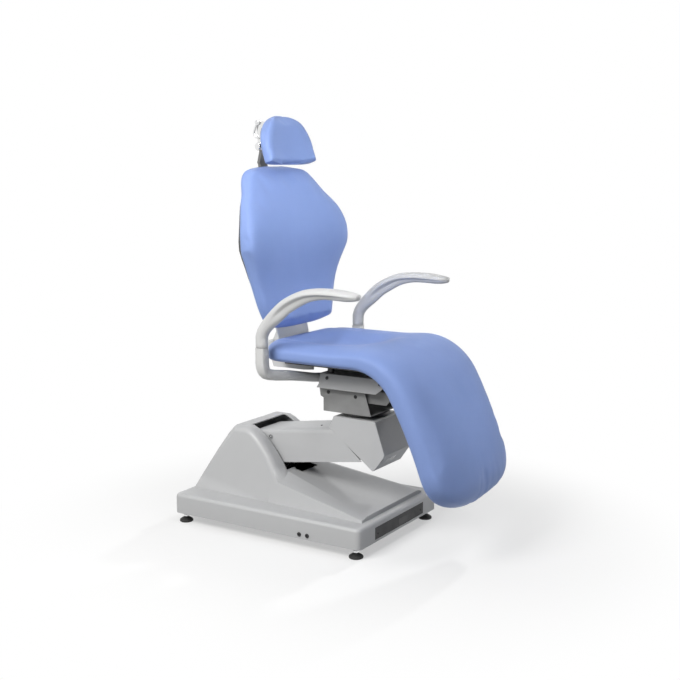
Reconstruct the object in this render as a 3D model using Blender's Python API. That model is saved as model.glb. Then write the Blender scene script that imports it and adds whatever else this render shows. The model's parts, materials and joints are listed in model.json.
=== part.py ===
"""Ear, nose and throat treatment chair with a powered parallelogram lift.

Chair frame, in metres: x to the patient's left, y to the back, z up from the floor.
Depths below are measured from the front edge of the base, and one empty called chair
moves everything so that the origin lies under the middle of the whole chair.
"""
import math

import bmesh
import bpy
from mathutils import Matrix, Vector

# Shared clearances and stock
GAP = 0.0003                # between pieces that touch
RUN = 0.0004                # radial play of a turning fit
ROUND = 16                  # sides of a small turned piece

# Base cover: plinth, tower and ramp
BASE_LENGTH = 0.782
BASE_WIDTH = 0.546
BASE_CORNER = 0.020
PLINTH_BOTTOM = 0.036
PLINTH_TOP = 0.108
PLINTH_SHOULDER = 0.013
COVER_WALL = 0.004
TOWER_TOP = 0.356
TOWER_TOP_HALF = 0.143
TOWER_FOOT_HALF = 0.177
TOWER_FOOT_FRONT = 0.388
TOWER_FOOT_REAR = 0.772
TOWER_CREST_FRONT = 0.548
TOWER_CREST_REAR = 0.614
TOWER_EDGE = 0.026
TOWER_BOW = (0.074, 0.024)
TOWER_CREST_ROUND = 0.030
FOOT_SINK = 0.010
SLOT_HALF = 0.100
SLOT_REAR = 0.558
NOTCH_HALF = 0.050
NOTCH_FLOOR = 0.176
RAMP_REAR = 0.430
RAMP_FRONT = 0.028
RAMP_REAR_TOP = 0.208
RAMP_FRONT_TOP = 0.123
RAMP_REAR_HALVES = (0.185, 0.160, 0.085)
RAMP_REAR_SHOULDER = 0.024
RAMP_FRONT_HALVES = (0.212, 0.207, 0.176)
RAMP_FRONT_SHOULDER = 0.007

# Base frame, feet and fittings
PLATE = 0.006
FRAME_LIFT = 0.001
FRAME_WINDOW = (0.068, 0.110, 0.240, 0.030)
FRAME_LUG = 0.007
FRAME_LUG_EYE = 0.017
UPRIGHT = 0.008
UPRIGHT_REAR = 0.690
UPRIGHT_FRONT = 0.400
UPRIGHT_KNEE = (0.420, 0.150)
UPRIGHT_RIM = 0.016
UPRIGHT_OUT = SLOT_HALF + 0.0035
FOOT_RADIUS = 0.025
FOOT_PAD = 0.014
FOOT_STUD = 0.006
FOOT_NUT = 0.010
STUD_END = 0.012
FOOT_INSET = 0.030
PANEL_WIDTH = 0.340
PANEL_HEIGHT = 0.042
PANEL_DEPTH = 0.002
SOCKET_RADIUS = 0.008
SOCKET_BARREL = 0.006
SOCKET_BORE = 0.003
SOCKET_REACH = 0.010
SOCKET_FLANGE = 0.0025
SOCKET_DEPTHS = (0.204, 0.236)
SOCKET_HEIGHT = 0.052
CONTROL_BOX = (0.085, 0.150, 0.042)
CONTROL_BOX_AT = (0.030, 0.145)

# Parallelogram lift
LIFT_PIVOT_Y = 0.505
LIFT_PIVOT_Z = 0.280
ARM_RISE = math.radians(8.4)
ARM_LENGTH = 0.379
ARM_HALF = 0.0885
ARM_DEPTH = 0.060
ARM_SKIN = 0.003
ARM_CHAMFER = 0.024
ARM_PLATE_OUT = ARM_HALF - ARM_SKIN - GAP
ARM_REAR = 0.050
ARM_END = 0.014
ARM_SILL = 0.016
SEAM_TOP = 0.292
SEAM_BOTTOM = 0.398
ARM_PLATE = 0.008
ARM_PLATE_DEPTH = 0.025
SHAFT_RADIUS = 0.0125
HEAD_SHAFT_RADIUS = 0.011
LINK_DROP = 0.040
LINK_OUT = 0.061
LINK_THICK = 0.012
LINK_DEPTH = 0.011
LINK_PIN_RADIUS = 0.008
PLUG_RADIUS = 0.009
PLUG_AT = (-0.0285, 0.0345)
PLUG_PROUD = 0.003
ARM_BRIDGE = (-0.320, -0.060)
ARM_LUG = 0.007
ARM_LUG_EYE = 0.014
ARM_LUG_PLAY = 0.002
ARM_MOUTH = (-0.050, -0.047)

# Lift actuator
DRIVE_Y = 0.660
DRIVE_Z = 0.093
DRIVE_PIN_RADIUS = 0.008
ROD_LUG_ALONG = 0.170
ROD_LUG_DROP = 0.045
ROD_PIN_RADIUS = 0.007
OPEN_PLAY = 0.004
TUBE_RADIUS = 0.024
TUBE_LENGTH = 0.185
ROD_RADIUS = 0.011
ROD_EYE = 0.018
ROD_EYE_HALF = 0.012
MOTOR_RADIUS = 0.022
MOTOR_LENGTH = 0.105
LUG_HALF = 0.018
DRIVE_EYE = 0.016
GEAR_CASE = (0.026, -0.062, -0.022, -0.027, 0.074)
GEAR_EDGE = 0.006
TUBE_BORE_END = 0.075
ROD_TAIL = 0.095
MOTOR_UP = 0.049

# Head cover, head casting and swivel
HEAD_HALF = 0.094
HEAD_TOP = 0.427
HEAD_FRONT_TOP = 0.048
HEAD_FRONT_LOW = 0.009
HEAD_FRONT_LOW_Z = 0.314
HEAD_TIP = 0.054
HEAD_TIP_Z = 0.252
HEAD_REAR = 0.212
HEAD_SKIN = 0.003
HEAD_EDGE = 0.005
HEAD_SEAM = 0.004
STEM_HALF = 0.044
STEM_EYE = 0.024
NECK_HALF = 0.041
NECK_SINK = 0.006
HEAD_BOSS_RADIUS = 0.022
HEAD_BOSS = ARM_PLATE_OUT - ARM_PLATE - 0.001
SWIVEL_Y = 0.140
RING_RADIUS = 0.064
RING_SEAT = 0.0005
RING_HEIGHT = 0.018
RING_PROUD = 0.005
FLANGE_RIM = 0.006
FLANGE_THICK = 0.012
WELL_DEPTH = 0.030
RING_BORE_PLAY = 0.004
SPIGOT_RADIUS = 0.020
SWIVEL_PLATE_RADIUS = 0.085
SWIVEL_PLATE = 0.010
SWIVEL_SEAM = 0.001
SPIGOT_REACH = 0.022

# Seat brackets and channel
BRACKET_HALF = 0.100
BRACKET_SHEET = 0.004
BRACKET_FRONT = 0.060
BRACKET_REAR = 0.250
BRACKET_HEIGHT = 0.088
BRACKET_SLOPE = 0.027
BRACKET_STEP = (0.046, 0.012, 0.052, 0.017)
INNER_HALF = 0.088
INNER_FRONT = -0.018
INNER_HEIGHT = 0.046
INNER_NOSE = (0.026, 0.006, 0.014)
INNER_REAR = 0.010
SHELF_ENDS = (0.040, 0.020)
CHANNEL_TOP_HALF = 0.112
CHANNEL_HALF = 0.120
CHANNEL_LIP = 0.013
CHANNEL_SHEET = 0.003
CHANNEL_HEIGHT = 0.046
CHANNEL_REAR = 0.256
CHANNEL_FRONT = 0.002
CHANNEL_CHAMFER = 0.030
CHANNEL_FLARE = 0.010
CHANNEL_WEB = (-0.060, 0.080)
WEB_INSET = 0.008
WEB_SHEET = 0.004

# Seat cushion: one pad from the seat over the knee down the leg rest
SEAT_HALF = 0.268
SEAT_REAR = 0.430
SEAT_MID_Z = 0.655
PAD_THICK = 0.067
LEG_THICK = 0.086
PAD_CROWN = 0.008
SEAT_DISH = 0.012
DISH_MIDDLE = 0.170
DISH_REACH = 0.180
PAD_EDGE = 0.034
KNEE_START = 0.040
KNEE_RADIUS = 0.190
KNEE_TURN = math.radians(60)
LEG_RADIUS = 1.500
LEG_LENGTH = 0.412
SEAT_REAR_ROUND = 0.110
LEG_END_ROUND = 0.150
SHELL_THICK = 0.008
SHELL_HALF = 0.190
SHELL_REAR = 0.350
SPACER_RADIUS = 0.012
SPACER_X = 0.088
SPACER_DEPTHS = (0.070, 0.226)

# Armrests
POST_X = 0.307
POST_Y = 0.357
POST_SEAM = 0.684
POST_RADIUS = 0.021
ARM_TIP_WIDTH = 0.052
ARM_TIP_THICK = 0.036
ARM_PIN_RADIUS = 0.009
ARM_PIN_REACH = 0.045
ARM_PLAY = 0.001
BRACKET_TUBE = (0.036, 0.032)
FLANGE = (0.060, 0.006, 0.036)
BRACKET_KNEE = 0.053
FLANGE_X = 0.072
BRACKET_ROUTE = ((0.0, 0.0, -0.041), (-0.004, -0.002, -0.066), (-0.024, -0.010, -0.085))
BRACKET_END = ((-0.107, 0.053, 0.022), (-0.197, 0.024, 0.004), (-0.231, 0.010, 0.0))
ARM_ROUTE = ((0.000, 0.036), (-0.011, 0.061), (-0.044, 0.101), (-0.096, 0.148), (-0.160, 0.180),
             (-0.215, 0.191), (-0.280, 0.193), (-0.345, 0.191), (-0.378, 0.190))
ARM_SWELL = 0.16
ARM_TIP = (0.34, 0.80, 0.95)

# Backrest, its hinge and the recline drive
BACK_LEAN = math.radians(11)
BACK_PIVOT_Y = 0.468
BACK_PIVOT_Z = 0.658
BACK_TURN = math.radians(70)
BACK_PIN_RADIUS = 0.008
HINGE_TUBE_RADIUS = 0.016
HINGE_X = 0.096
HINGE_PLATE = 0.006
SLEEVE_DROP = 0.026
SLEEVE_LENGTH = 0.190
BACK_PLANE = -0.0425
BACK_EDGE_THICK = 0.068
BACK_THIN = 0.016
BACK_THIN_FROM = 0.60
BACK_BULGE = 0.038
BACK_BOTTOM = 0.050
BACK_HEIGHT = 0.566
BACK_TOP = BACK_BOTTOM + BACK_HEIGHT
BACK_HALF = 0.313
BACK_FOOT_HALF = 0.172
BACK_HEAD_HALF = 0.122
BACK_WAIST_UP = 0.300
BACK_LOWER = ((0.052, 0.203), (0.138, 0.238), (0.225, 0.280))
BACK_UPPER = ((0.163, 0.285), (0.093, 0.231), (0.030, 0.172))
BACK_EDGE = 0.030
BACK_CORNER = 0.016
BACK_SKEW = 1.6
BOARD = 0.010
BOARD_INSET = 0.036
SPINE_HALF = 0.095
SPINE = 0.006
SLEEVE_TOP = BACK_TOP - SLEEVE_DROP
SPINE_TOP = SLEEVE_TOP - SLEEVE_LENGTH
SPINE_NECK = 0.055
SPINE_SHOULDERS = (0.140, 0.230)
SPINE_WEBS = (-0.080, -0.040, 0.034, 0.074)
CRANK_EYE = 0.0125
CRANK_REACH = 0.014
CRANK_DROP = 0.0614
CRANK_HALF = 0.005
RECLINE_PIN_RADIUS = 0.005
RECLINE_PLAY = 0.003
RECLINE_TUBE_RADIUS = 0.0145
RECLINE_ROD_RADIUS = 0.008
RECLINE_FRONT = 0.034
RECLINE_TUBE_LENGTH = 0.230
SADDLE_HALF = 0.024
SADDLES = ((0.010, 0.070), (0.190, 0.224))
RECLINE_BORE = 0.030
RECLINE_TAIL = 0.120
FORK = (0.014, 0.009, 0.034, 0.009)
HINGE_FOOT = (0.290, 0.330)
HINGE_DEPTH = 0.034

# Headrest
POST_BACK = -0.0195
TILT_BACK = -0.0435
NECK_RISE = 0.052
POST_WIDE = 0.041
POST_THICK = 0.012
HEAD_TRAVEL = 0.100
HEAD_LAP = 0.017
TILT_RISE = 0.091
LEVER_RISE = 0.082
HEAD_PAD_FOOT = BACK_TOP - HEAD_LAP
TILT_UP = HEAD_PAD_FOOT + TILT_RISE
LEVER_UP = TILT_UP + LEVER_RISE
POST_FOOT = SPINE_TOP - HEAD_TRAVEL
SLEEVE_FOOT = SPINE_TOP + GAP
SLEEVE_WALL = 0.0026
SLEEVE_CHEEK = 0.008
TILT_PIN_RADIUS = 0.006
TILT_EYE = 0.016
HEAD_PAD_HALF = 0.139
HEAD_PAD_HEIGHT = 0.175
HEAD_LEAN = math.radians(6)
HEAD_PAD_BACK = -0.106
HEAD_PAD_THICK = 0.050
HEAD_PAD_STRAIGHT = 0.30
HEAD_PAD_POWER = 2.5
HEAD_PAD_EDGE = 0.020
HEAD_PAD_CORNER = 0.012
HEAD_DISH = 0.016
HEAD_BOARD = 0.008
CARRIER = 0.004
CARRIER_PLATE = (0.040, -0.030, 0.070)
EAR_FOOT = (-0.024, 0.066)
EAR_X = 0.0245
EAR = 0.004
EAR_NOSE = ((0.006, -0.0115), (0.0125, 0.0), (0.009, 0.010))
EAR_TOP = ((0.010, 0.0), (0.004, 0.009), (-0.007, 0.008))
LEVER_BACK = -0.059
LEVER_PIN_RADIUS = 0.004
LEVER_WIRE = 0.0035
LEVER_ROUTE = ((0.004, -0.004), (0.014, -0.015), (0.025, -0.031), (0.023, -0.044), (0.012, -0.054))
LEVER_EYE = 0.0085
LEVER_OUT = 0.0055
KNOB_RADIUS = 0.015
KNOB_LENGTH = 0.020

# Front of the leg rest, which sets the middle of the whole chair
LEG_FRONT = -0.3113


def shade(name, colour, roughness, metallic):
    """Principled material of one finish."""
    material = bpy.data.materials.new(name)
    material.use_nodes = True
    shader = material.node_tree.nodes["Principled BSDF"]
    shader.inputs["Base Color"].default_value = (*colour, 1.0)
    shader.inputs["Roughness"].default_value = roughness
    shader.inputs["Metallic"].default_value = metallic
    return material


def pivot(name, location, lean=0.0, parent=None):
    """Empty on a joint axis, leaning back about x."""
    empty = bpy.data.objects.new(name, None)
    empty.location = location
    empty.rotation_euler.x = -lean
    empty.parent = parent
    bpy.context.scene.collection.objects.link(empty)
    return empty


def piece(name, body, finish, parent):
    """Named object of one solid, in its parent's frame."""
    mesh = bpy.data.meshes.new(name)
    bmesh.ops.recalc_face_normals(body, faces=body.faces)
    body.to_mesh(mesh)
    body.free()
    mesh.materials.append(finish)
    mesh.shade_smooth()
    mesh.set_sharp_from_angle(angle=math.radians(35))
    item = bpy.data.objects.new(name, mesh)
    item.parent = parent
    bpy.context.scene.collection.objects.link(item)
    return item


def loft(rings, closed=False):
    """Skin through rings of points: capped at both ends, or closed on itself."""
    body = bmesh.new()
    loops = []
    for ring in rings:
        loops.append([body.verts.new(point) for point in ring])
    pairs = list(zip(loops, loops[1:]))
    if closed:
        pairs.append((loops[-1], loops[0]))
    for near, far in pairs:
        for i in range(len(near)):
            j = (i + 1) % len(near)
            body.faces.new((near[i], near[j], far[j], far[i]))
    if not closed:
        body.faces.new(loops[0])
        body.faces.new(loops[-1])
    bmesh.ops.recalc_face_normals(body, faces=body.faces)
    return body


def spot(axis, along, a, b):
    """Point from a place along an axis and two places across it."""
    if axis == "X":
        return Vector((along, a, b))
    if axis == "Y":
        return Vector((a, along, b))
    return Vector((a, b, along))


def prism(outline, start, end, axis="X"):
    """Outline drawn across an axis and extruded along it."""
    return loft([[spot(axis, along, a, b) for a, b in outline] for along in (start, end)])


def box(x, y, z):
    """Block between pairs of limits."""
    return prism([(y[0], z[0]), (y[1], z[0]), (y[1], z[1]), (y[0], z[1])], x[0], x[1])


def turned(profile, axis, centre=(0.0, 0.0), sides=ROUND, hollow=False):
    """Radius and place pairs turned about an axis; hollow joins the last pair to the first."""
    rings = []
    for radius, along in profile:
        ring = []
        for i in range(sides):
            angle = 2 * math.pi * (i + 0.5) / sides
            a = centre[0] + radius * math.cos(angle)
            b = centre[1] + radius * math.sin(angle)
            ring.append(spot(axis, along, a, b))
        rings.append(ring)
    return loft(rings, closed=hollow)


def rod(radius, start, end, axis="X", centre=(0.0, 0.0), sides=ROUND):
    """Plain round bar."""
    return turned([(radius, start), (radius, end)], axis, centre, sides)


def rounded(corners, steps=4):
    """Outline from corners given as two places and a radius."""
    outline = []
    count = len(corners)
    for i, (a, b, radius) in enumerate(corners):
        here = Vector((a, b))
        if radius == 0:
            outline.append((a, b))
            continue
        back = (Vector(corners[i - 1][:2]) - here).normalized()
        ahead = (Vector(corners[(i + 1) % count][:2]) - here).normalized()
        half = back.angle(ahead) / 2
        centre = here + (back + ahead).normalized() * (radius / math.sin(half))
        first = here + back * (radius / math.tan(half)) - centre
        last = here + ahead * (radius / math.tan(half)) - centre
        turn = first.angle_signed(last)
        for step in range(steps + 1):
            arm = first.copy()
            arm.rotate(Matrix.Rotation(-turn * step / steps, 2))
            outline.append(tuple(centre + arm))
    return outline


def inset(outline, distance):
    """Outline moved inwards by a distance on every side."""
    area = 0.0
    for (a, b), (c, d) in zip(outline, outline[1:] + outline[:1]):
        area += a * d - b * c
    side = 1.0 if area > 0 else -1.0
    result = []
    for i, point in enumerate(outline):
        here = Vector(point)
        into = (here - Vector(outline[i - 1])).normalized()
        out = (Vector(outline[(i + 1) % len(outline)]) - here).normalized()
        normal_in = Vector((-into.y, into.x)) * side
        normal_out = Vector((-out.y, out.x)) * side
        mitre = normal_in + normal_out
        result.append(tuple(here + mitre * (2 * distance / mitre.length_squared)))
    return result


def folded(line, thick):
    """Outline of a folded sheet from the line of its outer face, sheet to the left of it."""
    inner = []
    for i, point in enumerate(line):
        here = Vector(point)
        normals = []
        if i > 0:
            run = (here - Vector(line[i - 1])).normalized()
            normals.append(Vector((-run.y, run.x)))
        if i < len(line) - 1:
            run = (Vector(line[i + 1]) - here).normalized()
            normals.append(Vector((-run.y, run.x)))
        mitre = sum(normals, Vector((0.0, 0.0)))
        reach = thick * len(normals) / mitre.length_squared
        inner.append(tuple(here + mitre * reach))
    return list(line) + inner[::-1]


def eye_bar(start, end, radius, steps=6):
    """Outline of a bar with a round end about each of two points."""
    first = Vector(start)
    last = Vector(end)
    angle = math.atan2(last.y - first.y, last.x - first.x)
    outline = []
    for centre, turn in ((first, math.pi / 2), (last, -math.pi / 2)):
        for step in range(steps + 1):
            at = angle + turn + math.pi * step / steps
            outline.append((centre.x + radius * math.cos(at), centre.y + radius * math.sin(at)))
    return outline


def combine(operation, body, *tools):
    """Boolean of solids, each with the exact solver."""
    collection = bpy.context.scene.collection
    items = []
    for solid in (body, *tools):
        mesh = bpy.data.meshes.new("stock")
        bmesh.ops.recalc_face_normals(solid, faces=solid.faces)
        solid.to_mesh(mesh)
        solid.free()
        item = bpy.data.objects.new("stock", mesh)
        collection.objects.link(item)
        items.append(item)
    for tool in items[1:]:
        tool.hide_render = True
        tool.display_type = "WIRE"
        modifier = items[0].modifiers.new(operation.lower(), "BOOLEAN")
        modifier.operation = operation
        modifier.solver = "EXACT"
        modifier.object = tool
    shaped = items[0].evaluated_get(bpy.context.evaluated_depsgraph_get())
    result = bmesh.new()
    result.from_mesh(shaped.to_mesh())
    shaped.to_mesh_clear()
    for item in items:
        mesh = item.data
        bpy.data.objects.remove(item)
        bpy.data.meshes.remove(mesh)
    bmesh.ops.remove_doubles(result, verts=result.verts, dist=0.00002)
    bmesh.ops.dissolve_degenerate(result, edges=result.edges, dist=0.00002)
    return result


def cut(body, *tools):
    """Body less the tools."""
    return combine("DIFFERENCE", body, *tools)


def join(body, *tools):
    """Body welded to the tools."""
    return combine("UNION", body, *tools)


def soften(body, width, segments, chosen):
    """Round the edges for which chosen(edge) holds."""
    edges = [edge for edge in body.edges if chosen(edge)]
    bmesh.ops.bevel(body, geom=edges, offset=width, segments=segments, profile=0.5, affect="EDGES")
    return body


def along_x(edge):
    """Whether an edge runs across the chair."""
    return abs((edge.verts[0].co - edge.verts[1].co).normalized().x) > 0.9


def smooth(points, steps):
    """Catmull-Rom curve through hand-placed points."""
    knots = [Vector(point) for point in points]
    knots.insert(0, 2 * knots[0] - knots[1])
    knots.append(2 * knots[-1] - knots[-2])
    curve = []
    for i in range(1, len(knots) - 2):
        before, start, end, after = knots[i - 1:i + 3]
        for step in range(steps):
            t = step / steps
            curve.append(0.5 * (2 * start + (end - before) * t
                                + (2 * before - 5 * start + 4 * end - after) * t * t
                                + (3 * start - before - 3 * end + after) * t ** 3))
    curve.append(knots[-2])
    return curve


def pad_ring(half, front, back, count, crown):
    """Rounded section across a pad as side and depth pairs: drawn-in sides, crowned face."""
    ring = []
    for i in range(count):
        angle = 2 * math.pi * (i + 0.5) / count
        c = math.cos(angle)
        s = math.sin(angle)
        side = math.copysign(abs(c) ** 0.36, c)
        depth = math.copysign(abs(s) ** 0.50, s)
        lift = crown * (1 - side * side) if s > 0 else 0.0
        ring.append((half * side, depth * (front if s > 0 else back) + lift))
    return ring


def end_round(distance, reach, power=2.2):
    """Share of full size at a distance from a rounded end."""
    if distance >= reach:
        return 1.0
    return max(1 - (1 - distance / reach) ** power, 0.0) ** (1 / power)


def spaced(length, fine, reach, middle):
    """Places along a length, closer together near both ends."""
    ends = [reach * (1 - math.cos(math.pi / 2 * i / fine)) for i in range(1, fine)]
    inner = [reach + (length - 2 * reach) * i / middle for i in range(middle + 1)]
    return ends + inner + [length - place for place in reversed(ends)]


def head_end(along, up):
    """Depth and height of a point given along the lift arm and above its line."""
    y = LIFT_PIVOT_Y - along * math.cos(ARM_RISE) + up * math.sin(ARM_RISE)
    z = LIFT_PIVOT_Z + along * math.sin(ARM_RISE) + up * math.cos(ARM_RISE)
    return y, z


def seat_path(length):
    """Depth, height and normal of the seat pad's middle line at a length from its rear."""
    flat = SEAT_REAR - KNEE_START
    if length <= flat:
        return SEAT_REAR - length, SEAT_MID_Z, Vector((0.0, 1.0))
    knee = KNEE_RADIUS * KNEE_TURN
    if length <= flat + knee:
        turn = (length - flat) / KNEE_RADIUS
        y = KNEE_START - KNEE_RADIUS * math.sin(turn)
        z = SEAT_MID_Z - KNEE_RADIUS * (1 - math.cos(turn))
        return y, z, Vector((-math.sin(turn), math.cos(turn)))
    start = math.pi / 2 - KNEE_TURN
    lean = start - (length - flat - knee) / LEG_RADIUS
    y = KNEE_START - KNEE_RADIUS * math.sin(KNEE_TURN)
    z = SEAT_MID_Z - KNEE_RADIUS * (1 - math.cos(KNEE_TURN))
    y -= LEG_RADIUS * (math.cos(lean) - math.cos(start))
    z -= LEG_RADIUS * (math.sin(start) - math.sin(lean))
    return y, z, Vector((-math.cos(lean), math.sin(lean)))


SEAT_LENGTH = SEAT_REAR - KNEE_START + KNEE_RADIUS * KNEE_TURN + LEG_LENGTH


def pad_half_thick(length):
    """Half the pad's thickness, which grows over the knee."""
    flat = SEAT_REAR - KNEE_START
    share = min(max((length - flat) / (KNEE_RADIUS * KNEE_TURN), 0.0), 1.0)
    return (PAD_THICK + (LEG_THICK - PAD_THICK) * share) / 2


def tower_outline():
    """Side view of the tower: sloping back, round crest and bowed front."""
    crest = [(TOWER_CREST_REAR, TOWER_TOP, TOWER_CREST_ROUND)]
    back = [(TOWER_FOOT_REAR, PLINTH_TOP - FOOT_SINK, 0.0)]
    front = []
    bow = Vector((TOWER_CREST_FRONT - TOWER_BOW[0], TOWER_TOP - TOWER_BOW[1]))
    start = Vector((TOWER_CREST_FRONT, TOWER_TOP))
    end = Vector((TOWER_FOOT_FRONT, RAMP_REAR_TOP - 0.025))
    for step in range(7):
        t = step / 6
        point = start * (1 - t) ** 2 + bow * (2 * t * (1 - t)) + end * t * t
        front.append((point.x, point.y, 0.0))
    foot = [(TOWER_FOOT_FRONT - 0.006, PLINTH_TOP - FOOT_SINK, 0.0)]
    return rounded(back + crest + front + foot)


def tower(wall, drop):
    """Tower solid with drafted sides, moved in by a wall and let down at the foot."""
    outline = inset(tower_outline(), wall) if wall else tower_outline()
    foot = min(b for a, b in outline)
    draft = (TOWER_FOOT_HALF - TOWER_TOP_HALF) / (TOWER_TOP - PLINTH_TOP)
    rings = []
    for side in (-1, 1):
        ring = []
        for y, z in outline:
            half = TOWER_TOP_HALF + (TOWER_TOP - z) * draft - wall
            low = z - drop if z < foot + 0.001 else z
            ring.append((side * half, y, low))
        rings.append(ring)
    return loft(rings)


def ramp(wall, drop):
    """Hipped ramp in front of the tower, moved in by a wall and let down at the foot."""
    foot = PLINTH_TOP - FOOT_SINK - drop
    rear = zip(RAMP_REAR_HALVES, (foot, RAMP_REAR_TOP - RAMP_REAR_SHOULDER, RAMP_REAR_TOP))
    front = zip(RAMP_FRONT_HALVES, (foot, RAMP_FRONT_TOP - RAMP_FRONT_SHOULDER, RAMP_FRONT_TOP))
    rings = []
    for y, half in ((RAMP_REAR, rear), (RAMP_FRONT + wall, front)):
        right = [(x - wall, y, z - wall) for x, z in half]
        left = [(-x, y, z) for x, y, z in reversed(right)]
        rings.append(right + left)
    return loft(rings)


def plinth_outline(wall):
    """Plan of the plinth, moved in by a wall."""
    half = BASE_WIDTH / 2
    corners = [(-half, 0.0, BASE_CORNER), (half, 0.0, BASE_CORNER),
               (half, BASE_LENGTH, BASE_CORNER), (-half, BASE_LENGTH, BASE_CORNER)]
    outline = rounded(corners, 5)
    return inset(outline, wall) if wall else outline


def plinth(wall, drop):
    """Plinth with round corners and a rounded shoulder, moved in by a wall."""
    body = prism(plinth_outline(wall), PLINTH_BOTTOM - drop, PLINTH_TOP - wall, "Z")
    top = PLINTH_TOP - wall - 0.0001
    width = PLINTH_SHOULDER - wall
    return soften(body, width, 3, lambda edge: min(v.co.z for v in edge.verts) > top)


def panel_middle():
    """Height of the middle of the front panel on the plinth's wall."""
    return (PLINTH_BOTTOM + PLINTH_TOP - PLINTH_SHOULDER) / 2


def tower_edges(edge):
    """Long edges of the tower between its drafted sides and its crest and front."""
    low, high = sorted(edge.verts, key=lambda v: v.co.z)
    same_side = low.co.x * high.co.x > 0
    return same_side and low.co.z > PLINTH_TOP + 0.002


def make_base(chair, look):
    """Moulded cover, welded frame and what stands on or in them."""
    soft = lambda edge: tower_edges(edge) and front_side(edge)
    outside = soften(tower(0.0, 0.0), TOWER_EDGE, 3, soft)
    inside = soften(tower(COVER_WALL, 0.03), TOWER_EDGE - COVER_WALL / 2, 3, soft)
    outer = join(plinth(0.0, 0.0), outside, ramp(0.0, 0.0))
    inner = join(plinth(COVER_WALL, 0.01), inside, ramp(COVER_WALL, 0.03))
    slot = box((-SLOT_HALF, SLOT_HALF), (0.30, SLOT_REAR), (RAMP_REAR_TOP, TOWER_TOP + 0.02))
    notch = box((-NOTCH_HALF, NOTCH_HALF), (TOWER_FOOT_FRONT - 0.015, SLOT_REAR - 0.02),
                (NOTCH_FLOOR, RAMP_REAR_TOP + 0.01))
    panel = (PANEL_WIDTH / 2, PANEL_HEIGHT / 2, panel_middle())
    recess = box((-panel[0] - GAP, panel[0] + GAP), (-0.01, PANEL_DEPTH + GAP),
                 (panel[2] - panel[1] - GAP, panel[2] + panel[1] + GAP))
    tools = [inner, slot, notch, recess]
    side = -BASE_WIDTH / 2
    for depth in SOCKET_DEPTHS:
        tools.append(rod(SOCKET_BARREL, side - 0.01, side + 0.02, "X", (depth, SOCKET_HEIGHT), 12))
    piece("base_cover", cut(outer, *tools), look["enamel"], chair)
    piece("front_panel", box((-panel[0], panel[0]), (0.0002, PANEL_DEPTH),
                             (panel[2] - panel[1], panel[2] + panel[1])), look["panel"], chair)
    for number, depth in enumerate(SOCKET_DEPTHS, 1):
        flange = side - SOCKET_FLANGE
        end = side + SOCKET_REACH
        profile = [(SOCKET_RADIUS, flange), (SOCKET_RADIUS, side - GAP),
                   (SOCKET_BARREL - GAP, side - GAP), (SOCKET_BARREL - GAP, end),
                   (SOCKET_BORE, end), (SOCKET_BORE, flange)]
        socket = turned(profile, "X", (depth, SOCKET_HEIGHT), 12, hollow=True)
        piece(f"pedal_socket_{number}", socket, look["black"], chair)
    make_frame(chair, look)
    make_feet(chair, look)


def front_side(edge):
    """Edges on the crest and the front of the tower, not on its sloping back."""
    middle = (edge.verts[0].co + edge.verts[1].co) / 2
    return middle.y < TOWER_CREST_REAR + 0.02


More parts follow.
